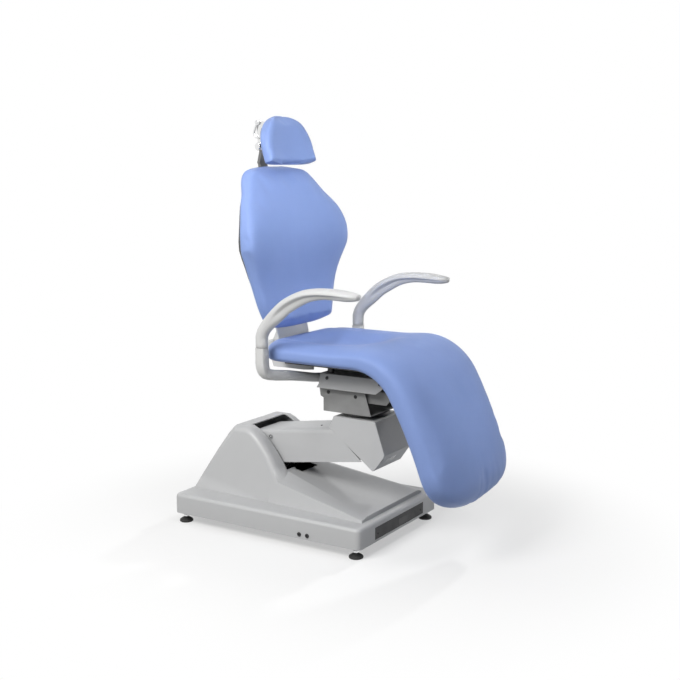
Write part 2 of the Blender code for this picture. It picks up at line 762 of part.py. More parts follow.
def make_frame(chair, look):
    """Base plate with two pivot uprights and the actuator's lugs, and its pins."""
    low = PLINTH_BOTTOM + FRAME_LIFT
    top = low + PLATE
    plate = prism(plinth_outline(COVER_WALL + GAP), low, top, "Z")
    half, near, far, corner = FRAME_WINDOW
    window = prism(rounded([(-half, near, corner), (half, near, corner), (half, far, corner),
                            (-half, far, corner)]), low - 0.01, top + 0.01, "Z")
    boss = SHAFT_RADIUS + UPRIGHT_RIM
    outline = [(UPRIGHT_REAR, top - 0.002), (LIFT_PIVOT_Y + boss, LIFT_PIVOT_Z)]
    for step in range(1, 6):
        angle = math.pi * step / 6
        outline.append((LIFT_PIVOT_Y + boss * math.cos(angle), LIFT_PIVOT_Z + boss * math.sin(angle)))
    outline += [(LIFT_PIVOT_Y - boss, LIFT_PIVOT_Z), UPRIGHT_KNEE, (UPRIGHT_FRONT, top - 0.002)]
    parts = []
    for side in (-1, 1):
        parts.append(prism(outline, side * UPRIGHT_OUT, side * (UPRIGHT_OUT + UPRIGHT)))
        lug = eye_bar((DRIVE_Y, DRIVE_Z), (DRIVE_Y, top - 0.001), FRAME_LUG_EYE)
        parts.append(prism(lug, side * (LUG_HALF + GAP), side * (LUG_HALF + FRAME_LUG)))
    reach = LUG_HALF + 2 * FRAME_LUG
    flat = box((-reach, reach), (DRIVE_Y - 0.05, DRIVE_Y + 0.05), (low - 0.05, low))
    frame = cut(join(plate, *parts), window, flat)
    bores = [rod(SHAFT_RADIUS + GAP, -0.2, 0.2, "X", (LIFT_PIVOT_Y, LIFT_PIVOT_Z)),
             rod(LINK_PIN_RADIUS + GAP, -0.2, 0.2, "X", (LIFT_PIVOT_Y, LIFT_PIVOT_Z - LINK_DROP)),
             rod(DRIVE_PIN_RADIUS + GAP, -0.2, 0.2, "X", (DRIVE_Y, DRIVE_Z))]
    for x in (-1, 1):
        for y in (FOOT_INSET, BASE_LENGTH - FOOT_INSET):
            bores.append(rod(FOOT_STUD + RUN, 0.0, 0.1, "Z",
                             (x * (BASE_WIDTH / 2 - FOOT_INSET), y), 12))
    piece("base_frame", cut(frame, *bores), look["dark_steel"], chair)
    reach = UPRIGHT_OUT + UPRIGHT + 0.004
    piece("lift_pivot_shaft", rod(SHAFT_RADIUS, -reach, reach, "X", (LIFT_PIVOT_Y, LIFT_PIVOT_Z)),
          look["steel"], chair)
    for side, name in ((-1, "right"), (1, "left")):
        pin = rod(LINK_PIN_RADIUS, side * (LINK_OUT - LINK_THICK - 0.002), side * reach, "X",
                  (LIFT_PIVOT_Y, LIFT_PIVOT_Z - LINK_DROP), 12)
        piece(f"link_pivot_pin_{name}", pin, look["steel"], chair)
    piece("actuator_pin", rod(DRIVE_PIN_RADIUS, -LUG_HALF - 0.010, LUG_HALF + 0.010, "X",
                              (DRIVE_Y, DRIVE_Z), 12), look["steel"], chair)
    size = CONTROL_BOX
    near = -BASE_WIDTH / 2 + CONTROL_BOX_AT[0]
    case = box((near, near + size[0]), (CONTROL_BOX_AT[1], CONTROL_BOX_AT[1] + size[1]),
               (top + GAP, top + GAP + size[2]))
    piece("control_box", soften(case, 0.003, 1, lambda edge: True), look["black"], chair)


def make_feet(chair, look):
    """Four levelling feet that turn on their studs."""
    nut_top = PLINTH_BOTTOM + FRAME_LIFT - GAP
    stud_top = nut_top + PLATE + STUD_END
    profile = [(FOOT_RADIUS - 0.003, 0.0), (FOOT_RADIUS, 0.004), (FOOT_RADIUS, FOOT_PAD - 0.005),
               (FOOT_RADIUS - 0.008, FOOT_PAD), (FOOT_NUT, FOOT_PAD + 0.004), (FOOT_NUT, nut_top),
               (FOOT_STUD, nut_top), (FOOT_STUD, stud_top)]
    for x, side in ((-1, "right"), (1, "left")):
        for y, end in ((FOOT_INSET, "front"), (BASE_LENGTH - FOOT_INSET, "rear")):
            place = pivot(f"foot_axis_{end}_{side}", (x * (BASE_WIDTH / 2 - FOOT_INSET), y, 0.0),
                          parent=chair)
            piece(f"levelling_foot_{end}_{side}", turned(profile, "Z"), look["black"], place)


def make_lift_arm(chair, look):
    """Welded arm frame, its chamfered cover and the side plugs."""
    arm = pivot("lift_axis", (0.0, LIFT_PIVOT_Y, LIFT_PIVOT_Z), ARM_RISE, chair)
    side_plate = eye_bar((0.0, 0.0), (-ARM_LENGTH, 0.0), ARM_PLATE_DEPTH, 8)
    inside = ARM_PLATE_OUT - ARM_PLATE
    parts = []
    for side in (-1, 1):
        parts.append(prism(side_plate, side * inside, side * ARM_PLATE_OUT))
        lug = eye_bar((-ROD_LUG_ALONG, -ROD_LUG_DROP), (-ROD_LUG_ALONG, 0.020), ARM_LUG_EYE)
        near = LUG_HALF + ARM_LUG_PLAY
        parts.append(prism(lug, side * near, side * (near + ARM_LUG)))
    bridge = box((-inside - 0.004, inside + 0.004), ARM_BRIDGE,
                 (ARM_PLATE_DEPTH - 0.008, ARM_PLATE_DEPTH - 0.002))
    frame = join(bridge, *parts)
    frame = cut(frame, rod(SHAFT_RADIUS + RUN, -0.2, 0.2, "X", (0.0, 0.0)),
                rod(HEAD_SHAFT_RADIUS + GAP, -0.2, 0.2, "X", (-ARM_LENGTH, 0.0)),
                rod(ROD_PIN_RADIUS + GAP, -0.2, 0.2, "X", (-ROD_LUG_ALONG, -ROD_LUG_DROP), 12))
    piece("lift_arm_frame", frame, look["dark_steel"], arm)
    reach = LUG_HALF + ARM_LUG_PLAY + ARM_LUG + 0.002
    piece("rod_end_pin", rod(ROD_PIN_RADIUS, -reach, reach, "X",
                             (-ROD_LUG_ALONG, -ROD_LUG_DROP), 12), look["steel"], arm)
    reach = ARM_PLATE_OUT + 0.004
    piece("head_pivot_shaft", rod(HEAD_SHAFT_RADIUS, -reach, reach, "X", (-ARM_LENGTH, 0.0)),
          look["steel"], arm)
    shape = [(ARM_REAR, ARM_DEPTH - ARM_END), (ARM_REAR - ARM_END, ARM_DEPTH), (-SEAM_TOP, ARM_DEPTH),
             (-SEAM_BOTTOM, -ARM_DEPTH), (ARM_MOUTH[0], -ARM_DEPTH), (ARM_MOUTH[1], -ARM_SILL),
             (ARM_REAR, -ARM_SILL)]
    body = prism(shape, -ARM_HALF, ARM_HALF)
    top_edge = lambda e: not along_x(e) and min(v.co.z for v in e.verts) > ARM_DEPTH - 0.0001
    body = soften(body, ARM_CHAMFER, 2, top_edge)
    roof = ARM_DEPTH - ARM_SKIN
    rear = ARM_REAR - ARM_SKIN
    inner = prism([(rear, -0.2), (rear, roof - ARM_END), (rear - ARM_END, roof), (-0.5, roof), (-0.5, -0.2)],
                  -ARM_HALF + ARM_SKIN, ARM_HALF - ARM_SKIN)
    level = lambda e: not along_x(e) and min(v.co.z for v in e.verts) > roof - 0.0001
    sides = lambda e: level(e) and abs(e.verts[0].co.x - e.verts[1].co.x) < 0.001
    inner = soften(inner, ARM_CHAMFER - ARM_SKIN * 0.6, 2, sides)
    bore = rod(SHAFT_RADIUS + OPEN_PLAY, -0.2, 0.2, "X", (0.0, 0.0))
    piece("lift_arm_cover", cut(body, inner, bore), look["enamel"], arm)
    for side, name in ((-1, "right"), (1, "left")):
        rim = ARM_HALF + PLUG_PROUD
        profile = [(PLUG_RADIUS, side * (ARM_HALF + GAP)), (PLUG_RADIUS, side * (rim - 0.0015)),
                   (PLUG_RADIUS - 0.002, side * rim)]
        piece(f"arm_cover_plug_{name}", turned(profile, "X", PLUG_AT), look["grey"], arm)


def make_links(chair, look):
    """Two parallel links that keep the head level."""
    for side, name in ((-1, "right"), (1, "left")):
        axis = pivot(f"link_axis_{name}", (0.0, LIFT_PIVOT_Y, LIFT_PIVOT_Z - LINK_DROP), ARM_RISE, chair)
        bar = prism(eye_bar((0.0, 0.0), (-ARM_LENGTH, 0.0), LINK_DEPTH + 0.003),
                    side * (LINK_OUT - LINK_THICK), side * LINK_OUT)
        bores = [rod(LINK_PIN_RADIUS + RUN, -0.1, 0.1, "X", (y, 0.0), 12) for y in (0.0, -ARM_LENGTH)]
        piece(f"parallel_link_{name}", cut(bar, *bores), look["dark_steel"], axis)


def drive_line():
    """Length and rise of the lift actuator from its pin to the pin under the arm."""
    y, z = head_end(ROD_LUG_ALONG, -ROD_LUG_DROP)
    return math.hypot(DRIVE_Y - y, z - DRIVE_Z), math.atan2(z - DRIVE_Z, DRIVE_Y - y)


def make_lift_drive(chair, look):
    """Linear actuator: body with its motor alongside, and the sliding rod."""
    length, rise = drive_line()
    drive = pivot("actuator_axis", (0.0, DRIVE_Y, DRIVE_Z), rise, chair)
    half, front, rear, low, high = GEAR_CASE
    eye = prism(eye_bar((0.0, 0.0), (rear - 0.008, 0.0), DRIVE_EYE), -LUG_HALF, LUG_HALF)
    gear = soften(box((-half, half), (front, rear), (low, high)), GEAR_EDGE, 2, along_x)
    tube = rod(TUBE_RADIUS, -TUBE_LENGTH, (front + rear) / 2, "Y", (0.0, 0.0), 20)
    body = join(gear, eye, tube)
    bore = rod(ROD_RADIUS + RUN, -TUBE_LENGTH - 0.01, -TUBE_BORE_END, "Y")
    body = cut(body, bore, rod(DRIVE_PIN_RADIUS + RUN, -0.1, 0.1, "X", (0.0, 0.0), 12))
    piece("lift_actuator_body", body, look["black"], drive)
    start = front - GAP
    end = start - MOTOR_LENGTH
    profile = [(MOTOR_RADIUS - 0.004, end), (MOTOR_RADIUS, end + 0.006), (MOTOR_RADIUS, start)]
    piece("lift_motor", turned(profile, "Y", (0.0, MOTOR_UP), 20), look["black"], drive)
    slide = rod(ROD_RADIUS, -length + ROD_EYE - 0.003, -ROD_TAIL, "Y")
    ring = rod(ROD_EYE, -ROD_EYE_HALF, ROD_EYE_HALF, "X", (-length, 0.0), 20)
    slide = join(ring, slide)
    slide = cut(slide, rod(ROD_PIN_RADIUS + OPEN_PLAY, -0.1, 0.1, "X", (-length, 0.0)))
    piece("lift_actuator_rod", slide, look["steel"], drive)


def make_head(chair, look):
    """Level head on the arm: casting, cover and the lower swivel ring."""
    head_y, head_z = head_end(ARM_LENGTH, 0.0)
    head = pivot("head_axis", (0.0, head_y, head_z), 0.0, chair)
    ring_low = HEAD_TOP + RING_PROUD - RING_HEIGHT - head_z
    flange_top = ring_low - GAP
    swivel = SWIVEL_Y - head_y
    flange = rod(RING_RADIUS + FLANGE_RIM, flange_top - FLANGE_THICK, flange_top, "Z", (0.0, swivel), 24)
    stem = prism(eye_bar((0.0, 0.0), (0.0, -LINK_DROP), STEM_EYE, 8), -STEM_HALF, STEM_HALF)
    foot = STEM_EYE - 0.002
    neck_top = flange_top - 0.004
    neck = prism([(-foot, -NECK_SINK), (foot, -NECK_SINK), (swivel + NECK_HALF, neck_top),
                  (swivel - NECK_HALF, neck_top)], -NECK_HALF, NECK_HALF)
    boss = rod(HEAD_BOSS_RADIUS, -HEAD_BOSS, HEAD_BOSS, "X", (0.0, 0.0), 20)
    casting = join(stem, neck, flange, boss)
    well = rod(SPIGOT_RADIUS + RUN, flange_top - WELL_DEPTH, flange_top + 0.02, "Z", (0.0, swivel), 20)
    casting = cut(casting, well, rod(HEAD_SHAFT_RADIUS + RUN, -0.1, 0.1, "X", (0.0, 0.0)),
                  rod(LINK_PIN_RADIUS + GAP, -0.1, 0.1, "X", (0.0, -LINK_DROP), 12))
    piece("head_casting", casting, look["dark_steel"], head)
    piece("link_head_pin", rod(LINK_PIN_RADIUS, -LINK_OUT - 0.003, LINK_OUT + 0.003, "X",
                               (0.0, -LINK_DROP), 12), look["steel"], head)
    low = ring_low
    high = ring_low + RING_HEIGHT
    bore = SPIGOT_RADIUS + RING_BORE_PLAY
    profile = [(RING_RADIUS, low), (RING_RADIUS, high), (bore, high), (bore, low)]
    piece("swivel_ring", turned(profile, "Z", (0.0, swivel), 28, hollow=True), look["steel"], head)
    make_head_cover(head, look, head_y, head_z, swivel)


def make_head_cover(head, look, head_y, head_z, swivel):
    """Wedge cover over the head, open towards the arm."""
    seam = head_end(SEAM_TOP - HEAD_SEAM, ARM_DEPTH + HEAD_SEAM)
    front = [(HEAD_TIP, HEAD_TIP_Z, 0.006), (HEAD_FRONT_LOW, HEAD_FRONT_LOW_Z, 0.008),
             (HEAD_FRONT_TOP, HEAD_TOP, 0.008)]
    rear = [(HEAD_REAR, HEAD_TOP, 0.0), (seam[0], seam[1], 0.0)]
    outline = rounded([(y - head_y, z - head_z, radius) for y, z, radius in front + rear], 3)
    body = prism(outline, -HEAD_HALF, HEAD_HALF)
    chosen = lambda e: not along_x(e) and e.verts[0].co.y < HEAD_FRONT_TOP - head_y
    body = soften(body, HEAD_EDGE, 2, chosen)
    skin = [(y - head_y, z - head_z, 0.0) for y, z, radius in front]
    skin = inset(rounded(skin + [(0.30 - head_y, HEAD_TOP - head_z, 0.0), (0.30 - head_y, -0.02, 0.0),
                                 (0.10 - head_y, -0.16, 0.0)]), HEAD_SKIN)
    inner = prism(skin, -HEAD_HALF + HEAD_SKIN, HEAD_HALF - HEAD_SKIN)
    mouth = rod(RING_RADIUS + RING_SEAT, 0.0, 0.2, "Z", (0.0, swivel), 28)
    piece("head_cover", cut(body, inner, mouth), look["enamel"], head)


def make_seat_frame(seat, look, base):
    """Swivel plate, folded brackets and the flared channel under the seat."""
    plate_low = base
    plate_top = plate_low + SWIVEL_PLATE
    spigot_end = plate_low - RING_HEIGHT - SPIGOT_REACH
    profile = [(SPIGOT_RADIUS, spigot_end), (SPIGOT_RADIUS, plate_low), (SWIVEL_PLATE_RADIUS, plate_low),
               (SWIVEL_PLATE_RADIUS, plate_top)]
    piece("swivel_plate", turned(profile, "Z", sides=28), look["black"], seat)
    low = plate_top + GAP
    top = low + BRACKET_HEIGHT
    front = BRACKET_FRONT - SWIVEL_Y
    rear = BRACKET_REAR - SWIVEL_Y
    step_low, step_out, step_high, top_out = BRACKET_STEP
    outline = [(front, low), (rear, low), (rear, low + step_low), (rear + step_out, low + step_high),
               (rear + top_out, top), (front + BRACKET_SLOPE, top)]
    shape = prism(outline, -BRACKET_HALF, BRACKET_HALF)
    inner = box((-BRACKET_HALF + BRACKET_SHEET, BRACKET_HALF - BRACKET_SHEET), (-0.5, 0.5),
                (low + BRACKET_SHEET, top + 0.1))
    piece("seat_bracket", cut(shape, inner), look["mid_grey"], seat)
    inner_low = top - INNER_HEIGHT
    tip = INNER_FRONT - SWIVEL_Y
    end = rear - INNER_REAR
    outline = [(tip + INNER_NOSE[0], inner_low), (end, inner_low), (end, top - GAP),
               (tip + INNER_NOSE[1], top - GAP), (tip, top - INNER_NOSE[2])]
    shape = prism(outline, -INNER_HALF, INNER_HALF)
    inner = box((-INNER_HALF + BRACKET_SHEET, INNER_HALF - BRACKET_SHEET), (-0.5, 0.5),
                (-0.1, top - BRACKET_SHEET))
    shelves = []
    for side in (-1, 1):
        shelves.append(box((side * (INNER_HALF - 0.003), side * (BRACKET_HALF - BRACKET_SHEET - GAP)),
                           (front + SHELF_ENDS[0], rear - SHELF_ENDS[1]), (inner_low, top - GAP)))
    piece("seat_inner_channel", join(cut(shape, inner), *shelves), look["mid_grey"], seat)
    sheet_low = top + GAP
    sheet_top = sheet_low + CHANNEL_HEIGHT
    line = [(CHANNEL_HALF + CHANNEL_LIP, sheet_low), (CHANNEL_HALF, sheet_low + CHANNEL_FLARE),
            (CHANNEL_TOP_HALF, sheet_top), (-CHANNEL_TOP_HALF, sheet_top),
            (-CHANNEL_HALF, sheet_low + CHANNEL_FLARE), (-CHANNEL_HALF - CHANNEL_LIP, sheet_low)]
    sheet = prism(folded(line, CHANNEL_SHEET), CHANNEL_FRONT - SWIVEL_Y, CHANNEL_REAR - SWIVEL_Y, "Y")
    outside = BRACKET_HALF - WEB_INSET
    inside = outside - WEB_SHEET
    web = box((-outside, outside), CHANNEL_WEB, (sheet_low, sheet_top - CHANNEL_SHEET + 0.001))
    hollow = box((-inside, inside), (-0.2, 0.2), (sheet_low - 0.01, sheet_top - CHANNEL_SHEET))
    web = cut(web, hollow)
    nose = CHANNEL_FRONT - SWIVEL_Y
    chamfer = prism([(nose - 0.01, sheet_low - 0.01), (nose + CHANNEL_CHAMFER, sheet_low - 0.01),
                     (nose - 0.01, sheet_low + CHANNEL_CHAMFER)], -0.3, 0.3)
    end = CHANNEL_REAR - SWIVEL_Y
    half = CHANNEL_TOP_HALF - WEB_SHEET
    wall = box((-half, half), (end - WEB_SHEET, end), (sheet_low + 0.002, sheet_top - 0.001))
    channel = cut(join(sheet, web, wall), chamfer)
    piece("seat_channel", channel, look["grey"], seat)
    return sheet_top, sheet_low


def make_seat(chair, look):
    """Everything that turns on the swivel, apart from the backrest and the arms."""
    plate_low = HEAD_TOP + RING_PROUD + SWIVEL_SEAM
    seat = pivot("swivel_axis", (0.0, SWIVEL_Y, 0.0), 0.0, chair)
    channel_top, channel_low = make_seat_frame(seat, look, plate_low)
    piece("seat_cushion", seat_pad(), look["upholstery"], seat)
    piece("seat_shell", seat_shell(channel_top), look["black"], seat)
    make_recline_drive(seat, look, channel_top)
    make_armrests(chair, seat, look, channel_low)
    return seat


def pad_lengths():
    """Lengths from the rear at which the seat pad and its shell have a section."""
    return spaced(SEAT_LENGTH, 6, SEAT_REAR_ROUND, 16)


def seat_pad():
    """Seat and leg rest pad, lofted along its bent middle line."""
    rings = []
    edge = PAD_EDGE
    for length in pad_lengths():
        y, z, normal = seat_path(length)
        rear = length
        front = SEAT_LENGTH - length
        half = SEAT_HALF * end_round(rear, SEAT_REAR_ROUND, 2.6) * end_round(front, LEG_END_ROUND, 2.3)
        thick = pad_half_thick(length) * end_round(rear, edge, 2.0) * end_round(front, 2 * edge, 2.0)
        dish = math.cos(math.pi / 2 * min(abs(rear - DISH_MIDDLE) / DISH_REACH, 1.0)) ** 2
        crown = PAD_CROWN - (PAD_CROWN + SEAT_DISH) * dish
        crown *= end_round(rear, 2 * edge) * end_round(front, 2 * edge)
        ring = []
        for side, depth in pad_ring(half, thick, thick, 24, crown):
            ring.append((side, y - SWIVEL_Y + normal.x * depth, z + normal.y * depth))
        rings.append(ring)
    return loft(rings)


def seat_shell(channel_top):
    """Bent shell under the pad with four bosses that stand on the channel."""
    outer = []
    inner = []
    for length in pad_lengths():
        if length < SEAT_REAR - SHELL_REAR or length > SEAT_LENGTH - LEG_END_ROUND:
            continue
        y, z, normal = seat_path(length)
        depth = pad_half_thick(length) + GAP
        outer.append((y - SWIVEL_Y - normal.x * depth, z - normal.y * depth))
        depth += SHELL_THICK
        inner.append((y - SWIVEL_Y - normal.x * depth, z - normal.y * depth))
    shell = prism(outer + inner[::-1], -SHELL_HALF, SHELL_HALF)
    bosses = []
    top = SEAT_MID_Z - PAD_THICK / 2 - SHELL_THICK + 0.002
    for side in (-1, 1):
        for depth in SPACER_DEPTHS:
            bosses.append(rod(SPACER_RADIUS, channel_top + GAP, top, "Z",
                              (side * SPACER_X, depth - SWIVEL_Y), 12))
    return join(shell, *bosses)


def make_recline_drive(seat, look, channel_top):
    """Slim drive that slides a pin in the backrest's slotted crank, and the hinge plates."""
    z = BACK_PIVOT_Z - CRANK_DROP
    front = RECLINE_FRONT - SWIVEL_Y
    back = front + RECLINE_TUBE_LENGTH
    tube = rod(RECLINE_TUBE_RADIUS, front, back, "Y", (0.0, z))
    saddles = []
    for start, end in SADDLES:
        saddles.append(box((-SADDLE_HALF, SADDLE_HALF), (front + start, front + end), (channel_top + GAP, z)))
    drive = join(tube, *saddles)
    bore = rod(RECLINE_ROD_RADIUS + RUN, front + RECLINE_BORE, back + 0.01, "Y", (0.0, z), 12)
    piece("recline_drive_body", cut(drive, bore), look["black"], seat)
    axis = pivot("recline_rod_axis", (0.0, 0.0, z), 0.0, seat)
    pin_y = BACK_PIVOT_Y + CRANK_DROP * math.tan(BACK_TURN / 2) - SWIVEL_Y
    half, tall, behind, ahead = FORK
    slide = rod(RECLINE_ROD_RADIUS, front + RECLINE_TAIL, pin_y - behind + 0.006, "Y", (0.0, 0.0), 12)
    fork = box((-half, half), (pin_y - behind, pin_y + ahead), (-tall, tall))
    gap = box((-CRANK_HALF - 0.001, CRANK_HALF + 0.001), (pin_y - behind + tall, pin_y + 0.02), (-0.02, 0.02))
    pin = rod(RECLINE_PIN_RADIUS, -half + 0.0005, half - 0.0005, "X", (pin_y, 0.0), 12)
    piece("recline_rod", join(cut(join(fork, slide), gap), pin), look["steel"], axis)
    shell_low = SEAT_MID_Z - PAD_THICK / 2 - SHELL_THICK - 2 * GAP
    y = BACK_PIVOT_Y - SWIVEL_Y
    boss = HINGE_TUBE_RADIUS
    low = shell_low - HINGE_DEPTH
    first, second = (place - SWIVEL_Y for place in HINGE_FOOT)
    plate = [(first, shell_low), (first, low + 0.004), (second, low), (y - 0.010, low),
             (y + boss, BACK_PIVOT_Z - 0.004)]
    for step in range(1, 5):
        angle = math.pi * step / 6
        plate.append((y + boss * math.cos(angle), BACK_PIVOT_Z + boss * math.sin(angle)))
    plate += [(y - boss + 0.001, BACK_PIVOT_Z - 0.010), (y - 0.030, shell_low)]
    for side, name in ((-1, "right"), (1, "left")):
        bracket = prism(plate, side * HINGE_X, side * (HINGE_X + HINGE_PLATE))
        bore = rod(BACK_PIN_RADIUS + GAP, -0.2, 0.2, "X", (y, BACK_PIVOT_Z))
        piece(f"back_hinge_plate_{name}", cut(bracket, bore), look["mid_grey"], seat)
    reach = HINGE_X + HINGE_PLATE + 0.004
    piece("back_hinge_pin", rod(BACK_PIN_RADIUS, -reach, reach, "X", (y, BACK_PIVOT_Z)),
          look["steel"], seat)


def section(width, thick, count=12):
    """Rounded bar section as side and depth pairs."""
    ring = []
    for i in range(count):
        angle = 2 * math.pi * (i + 0.5) / count
        c = math.cos(angle)
        s = math.sin(angle)
        side = width / 2 * math.copysign(abs(c) ** 0.75, c)
        ring.append((side, thick / 2 * math.copysign(abs(s) ** 0.75, s)))
    return ring


def swept(path, sizes, across):
    """Bar of varying section along a path; across gives the direction of its width."""
    rings = []
    for i, point in enumerate(path):
        ahead = path[min(i + 1, len(path) - 1)] - path[max(i - 1, 0)]
        side = (across - ahead * across.dot(ahead) / ahead.length_squared).normalized()
        up = ahead.normalized().cross(side)
        rings.append([point + side * a + up * b for a, b in section(*sizes[i])])
    return loft(rings)


def make_armrests(chair, seat, look, channel_low):
    """Fixed brackets on the channel and arms that swing out on their posts."""
    end_y = CHANNEL_REAR + GAP + FLANGE[1] - SWIVEL_Y
    post_y = POST_Y - SWIVEL_Y
    low = channel_low + CHANNEL_HEIGHT / 2
    knee = min(POST_SEAM, SEAT_MID_Z - PAD_THICK / 2 + BRACKET_KNEE)
    for side, name in ((-1, "right"), (1, "left")):
        route = [(POST_X, post_y, POST_SEAM - ARM_PLAY)]
        route += [(POST_X + x, post_y + y, knee + z) for x, y, z in BRACKET_ROUTE]
        route += [(POST_X + x, end_y + y, low + z) for x, y, z in BRACKET_END]
        path = [Vector((side * x, y, z)) for x, y, z in route]
        path = [path[0]] + smooth(path[1:], 3)
        post = (2 * POST_RADIUS, 2 * POST_RADIUS)
        sizes = []
        for i in range(len(path)):
            share = min(max((i - 2) / (len(path) - 6), 0.0), 1.0)
            sizes.append([post[0] + (BRACKET_TUBE[0] - post[0]) * share,
                          post[1] + (BRACKET_TUBE[1] - post[1]) * share])
        tube = swept(path, sizes, Vector((0.0, 1.0, 0.0)))
        flange = box((side * (FLANGE_X - FLANGE[0] / 2), side * (FLANGE_X + FLANGE[0] / 2)),
                     (end_y - FLANGE[1], end_y + 0.001), (low - FLANGE[2] / 2, low + FLANGE[2] / 2))
        trim = box((-0.3, 0.3), (-0.2, end_y - FLANGE[1]), (0.4, 0.8))
        bore = rod(ARM_PIN_RADIUS + GAP, POST_SEAM - ARM_PIN_REACH, POST_SEAM + 0.05, "Z",
                   (side * POST_X, post_y))
        bracket = cut(join(tube, flange), trim, bore)
        piece(f"armrest_bracket_{name}", bracket, look["enamel"], seat)
        pin = rod(ARM_PIN_RADIUS, POST_SEAM - ARM_PIN_REACH + GAP, POST_SEAM + ARM_PIN_REACH - GAP, "Z",
                  (side * POST_X, post_y))
        piece(f"armrest_pin_{name}", pin, look["steel"], seat)
        axis = pivot(f"armrest_axis_{name}", (side * POST_X, POST_Y, 0.0), 0.0, chair)
        piece(f"armrest_{name}", armrest(), look["arm"], axis)


def armrest():
    """Swept arm: round post, long bend forward and a flat rounded tip."""
    curve = [Vector((0.0, 0.0, POST_SEAM))]
    curve += smooth([(0.0, y, POST_SEAM + z) for y, z in ARM_ROUTE], 2)
    last = len(curve) - 1
    sizes = []
    for i in range(last + 1):
        share = min(max((i - 4) / 6, 0.0), 1.0)
        swell = 1 + ARM_SWELL * math.sin(math.pi * min(max((i - 1) / 8, 0.0), 1.0))
        width = 2 * POST_RADIUS + (ARM_TIP_WIDTH - 2 * POST_RADIUS) * share
        thick = (2 * POST_RADIUS + (ARM_TIP_THICK - 2 * POST_RADIUS) * share) * swell
        end = ARM_TIP[last - i] if last - i < len(ARM_TIP) else 1.0
        sizes.append((width * end, thick * end))
    body = swept(curve, sizes, Vector((1.0, 0.0, 0.0)))
    return cut(body, rod(ARM_PIN_RADIUS + RUN, POST_SEAM - 0.01, POST_SEAM + ARM_PIN_REACH, "Z"))


def back_half(up):
    """Half-width of the backrest pad at a height over its foot."""
    knots = [(0.0, BACK_FOOT_HALF), *BACK_LOWER, (BACK_WAIST_UP, BACK_HALF)]
    knots += [(BACK_HEIGHT - drop, half) for drop, half in BACK_UPPER]
    curve = smooth(knots + [(BACK_HEIGHT, BACK_HEAD_HALF)], 8)
    for low, high in zip(curve, curve[1:]):
        if low.x <= up <= high.x:
            share = (up - low.x) / (high.x - low.x)
            return low.y + (high.y - low.y) * share
    return BACK_HEAD_HALF


def board_outline(half_at, height, foot, margin, steps):
    """Outline of a backing board inside a pad's own outline."""
    places = [margin + (height - 2 * margin) * i / steps for i in range(steps + 1)]
    right = [(half_at(up) - margin, foot + up) for up in places]
    return right + [(-x, z) for x, z in reversed(right)]


def back_bow(up):
    """How far the backrest bows forward at a height over its foot."""
    return BACK_BULGE * math.sin(math.pi * (up / BACK_HEIGHT) ** BACK_SKEW) ** 2


def behind_board(up):
    """Depth of a piece that stands on the back of the board at a height over its foot."""
    return BACK_PLANE - back_bow(up) + BOARD + 2 * GAP


def back_places():
    """Heights over the foot at which the backrest pad has a section."""
    return spaced(BACK_HEIGHT, 5, 0.050, 16)


def back_board():
    """Bowed backing board inside the outline of the backrest pad."""
    rings = []
    ends = (BOARD_INSET, BACK_HEIGHT - BOARD_INSET)
    for up in (ends[0], *[up for up in back_places() if ends[0] < up < ends[1]], ends[1]):
        half = back_half(up) - BOARD_INSET
        front = BACK_PLANE - back_bow(up) + GAP
        z = BACK_BOTTOM + up
        rings.append([(-half, front, z), (half, front, z), (half, front + BOARD, z),
                      (-half, front + BOARD, z)])
    return loft(rings)


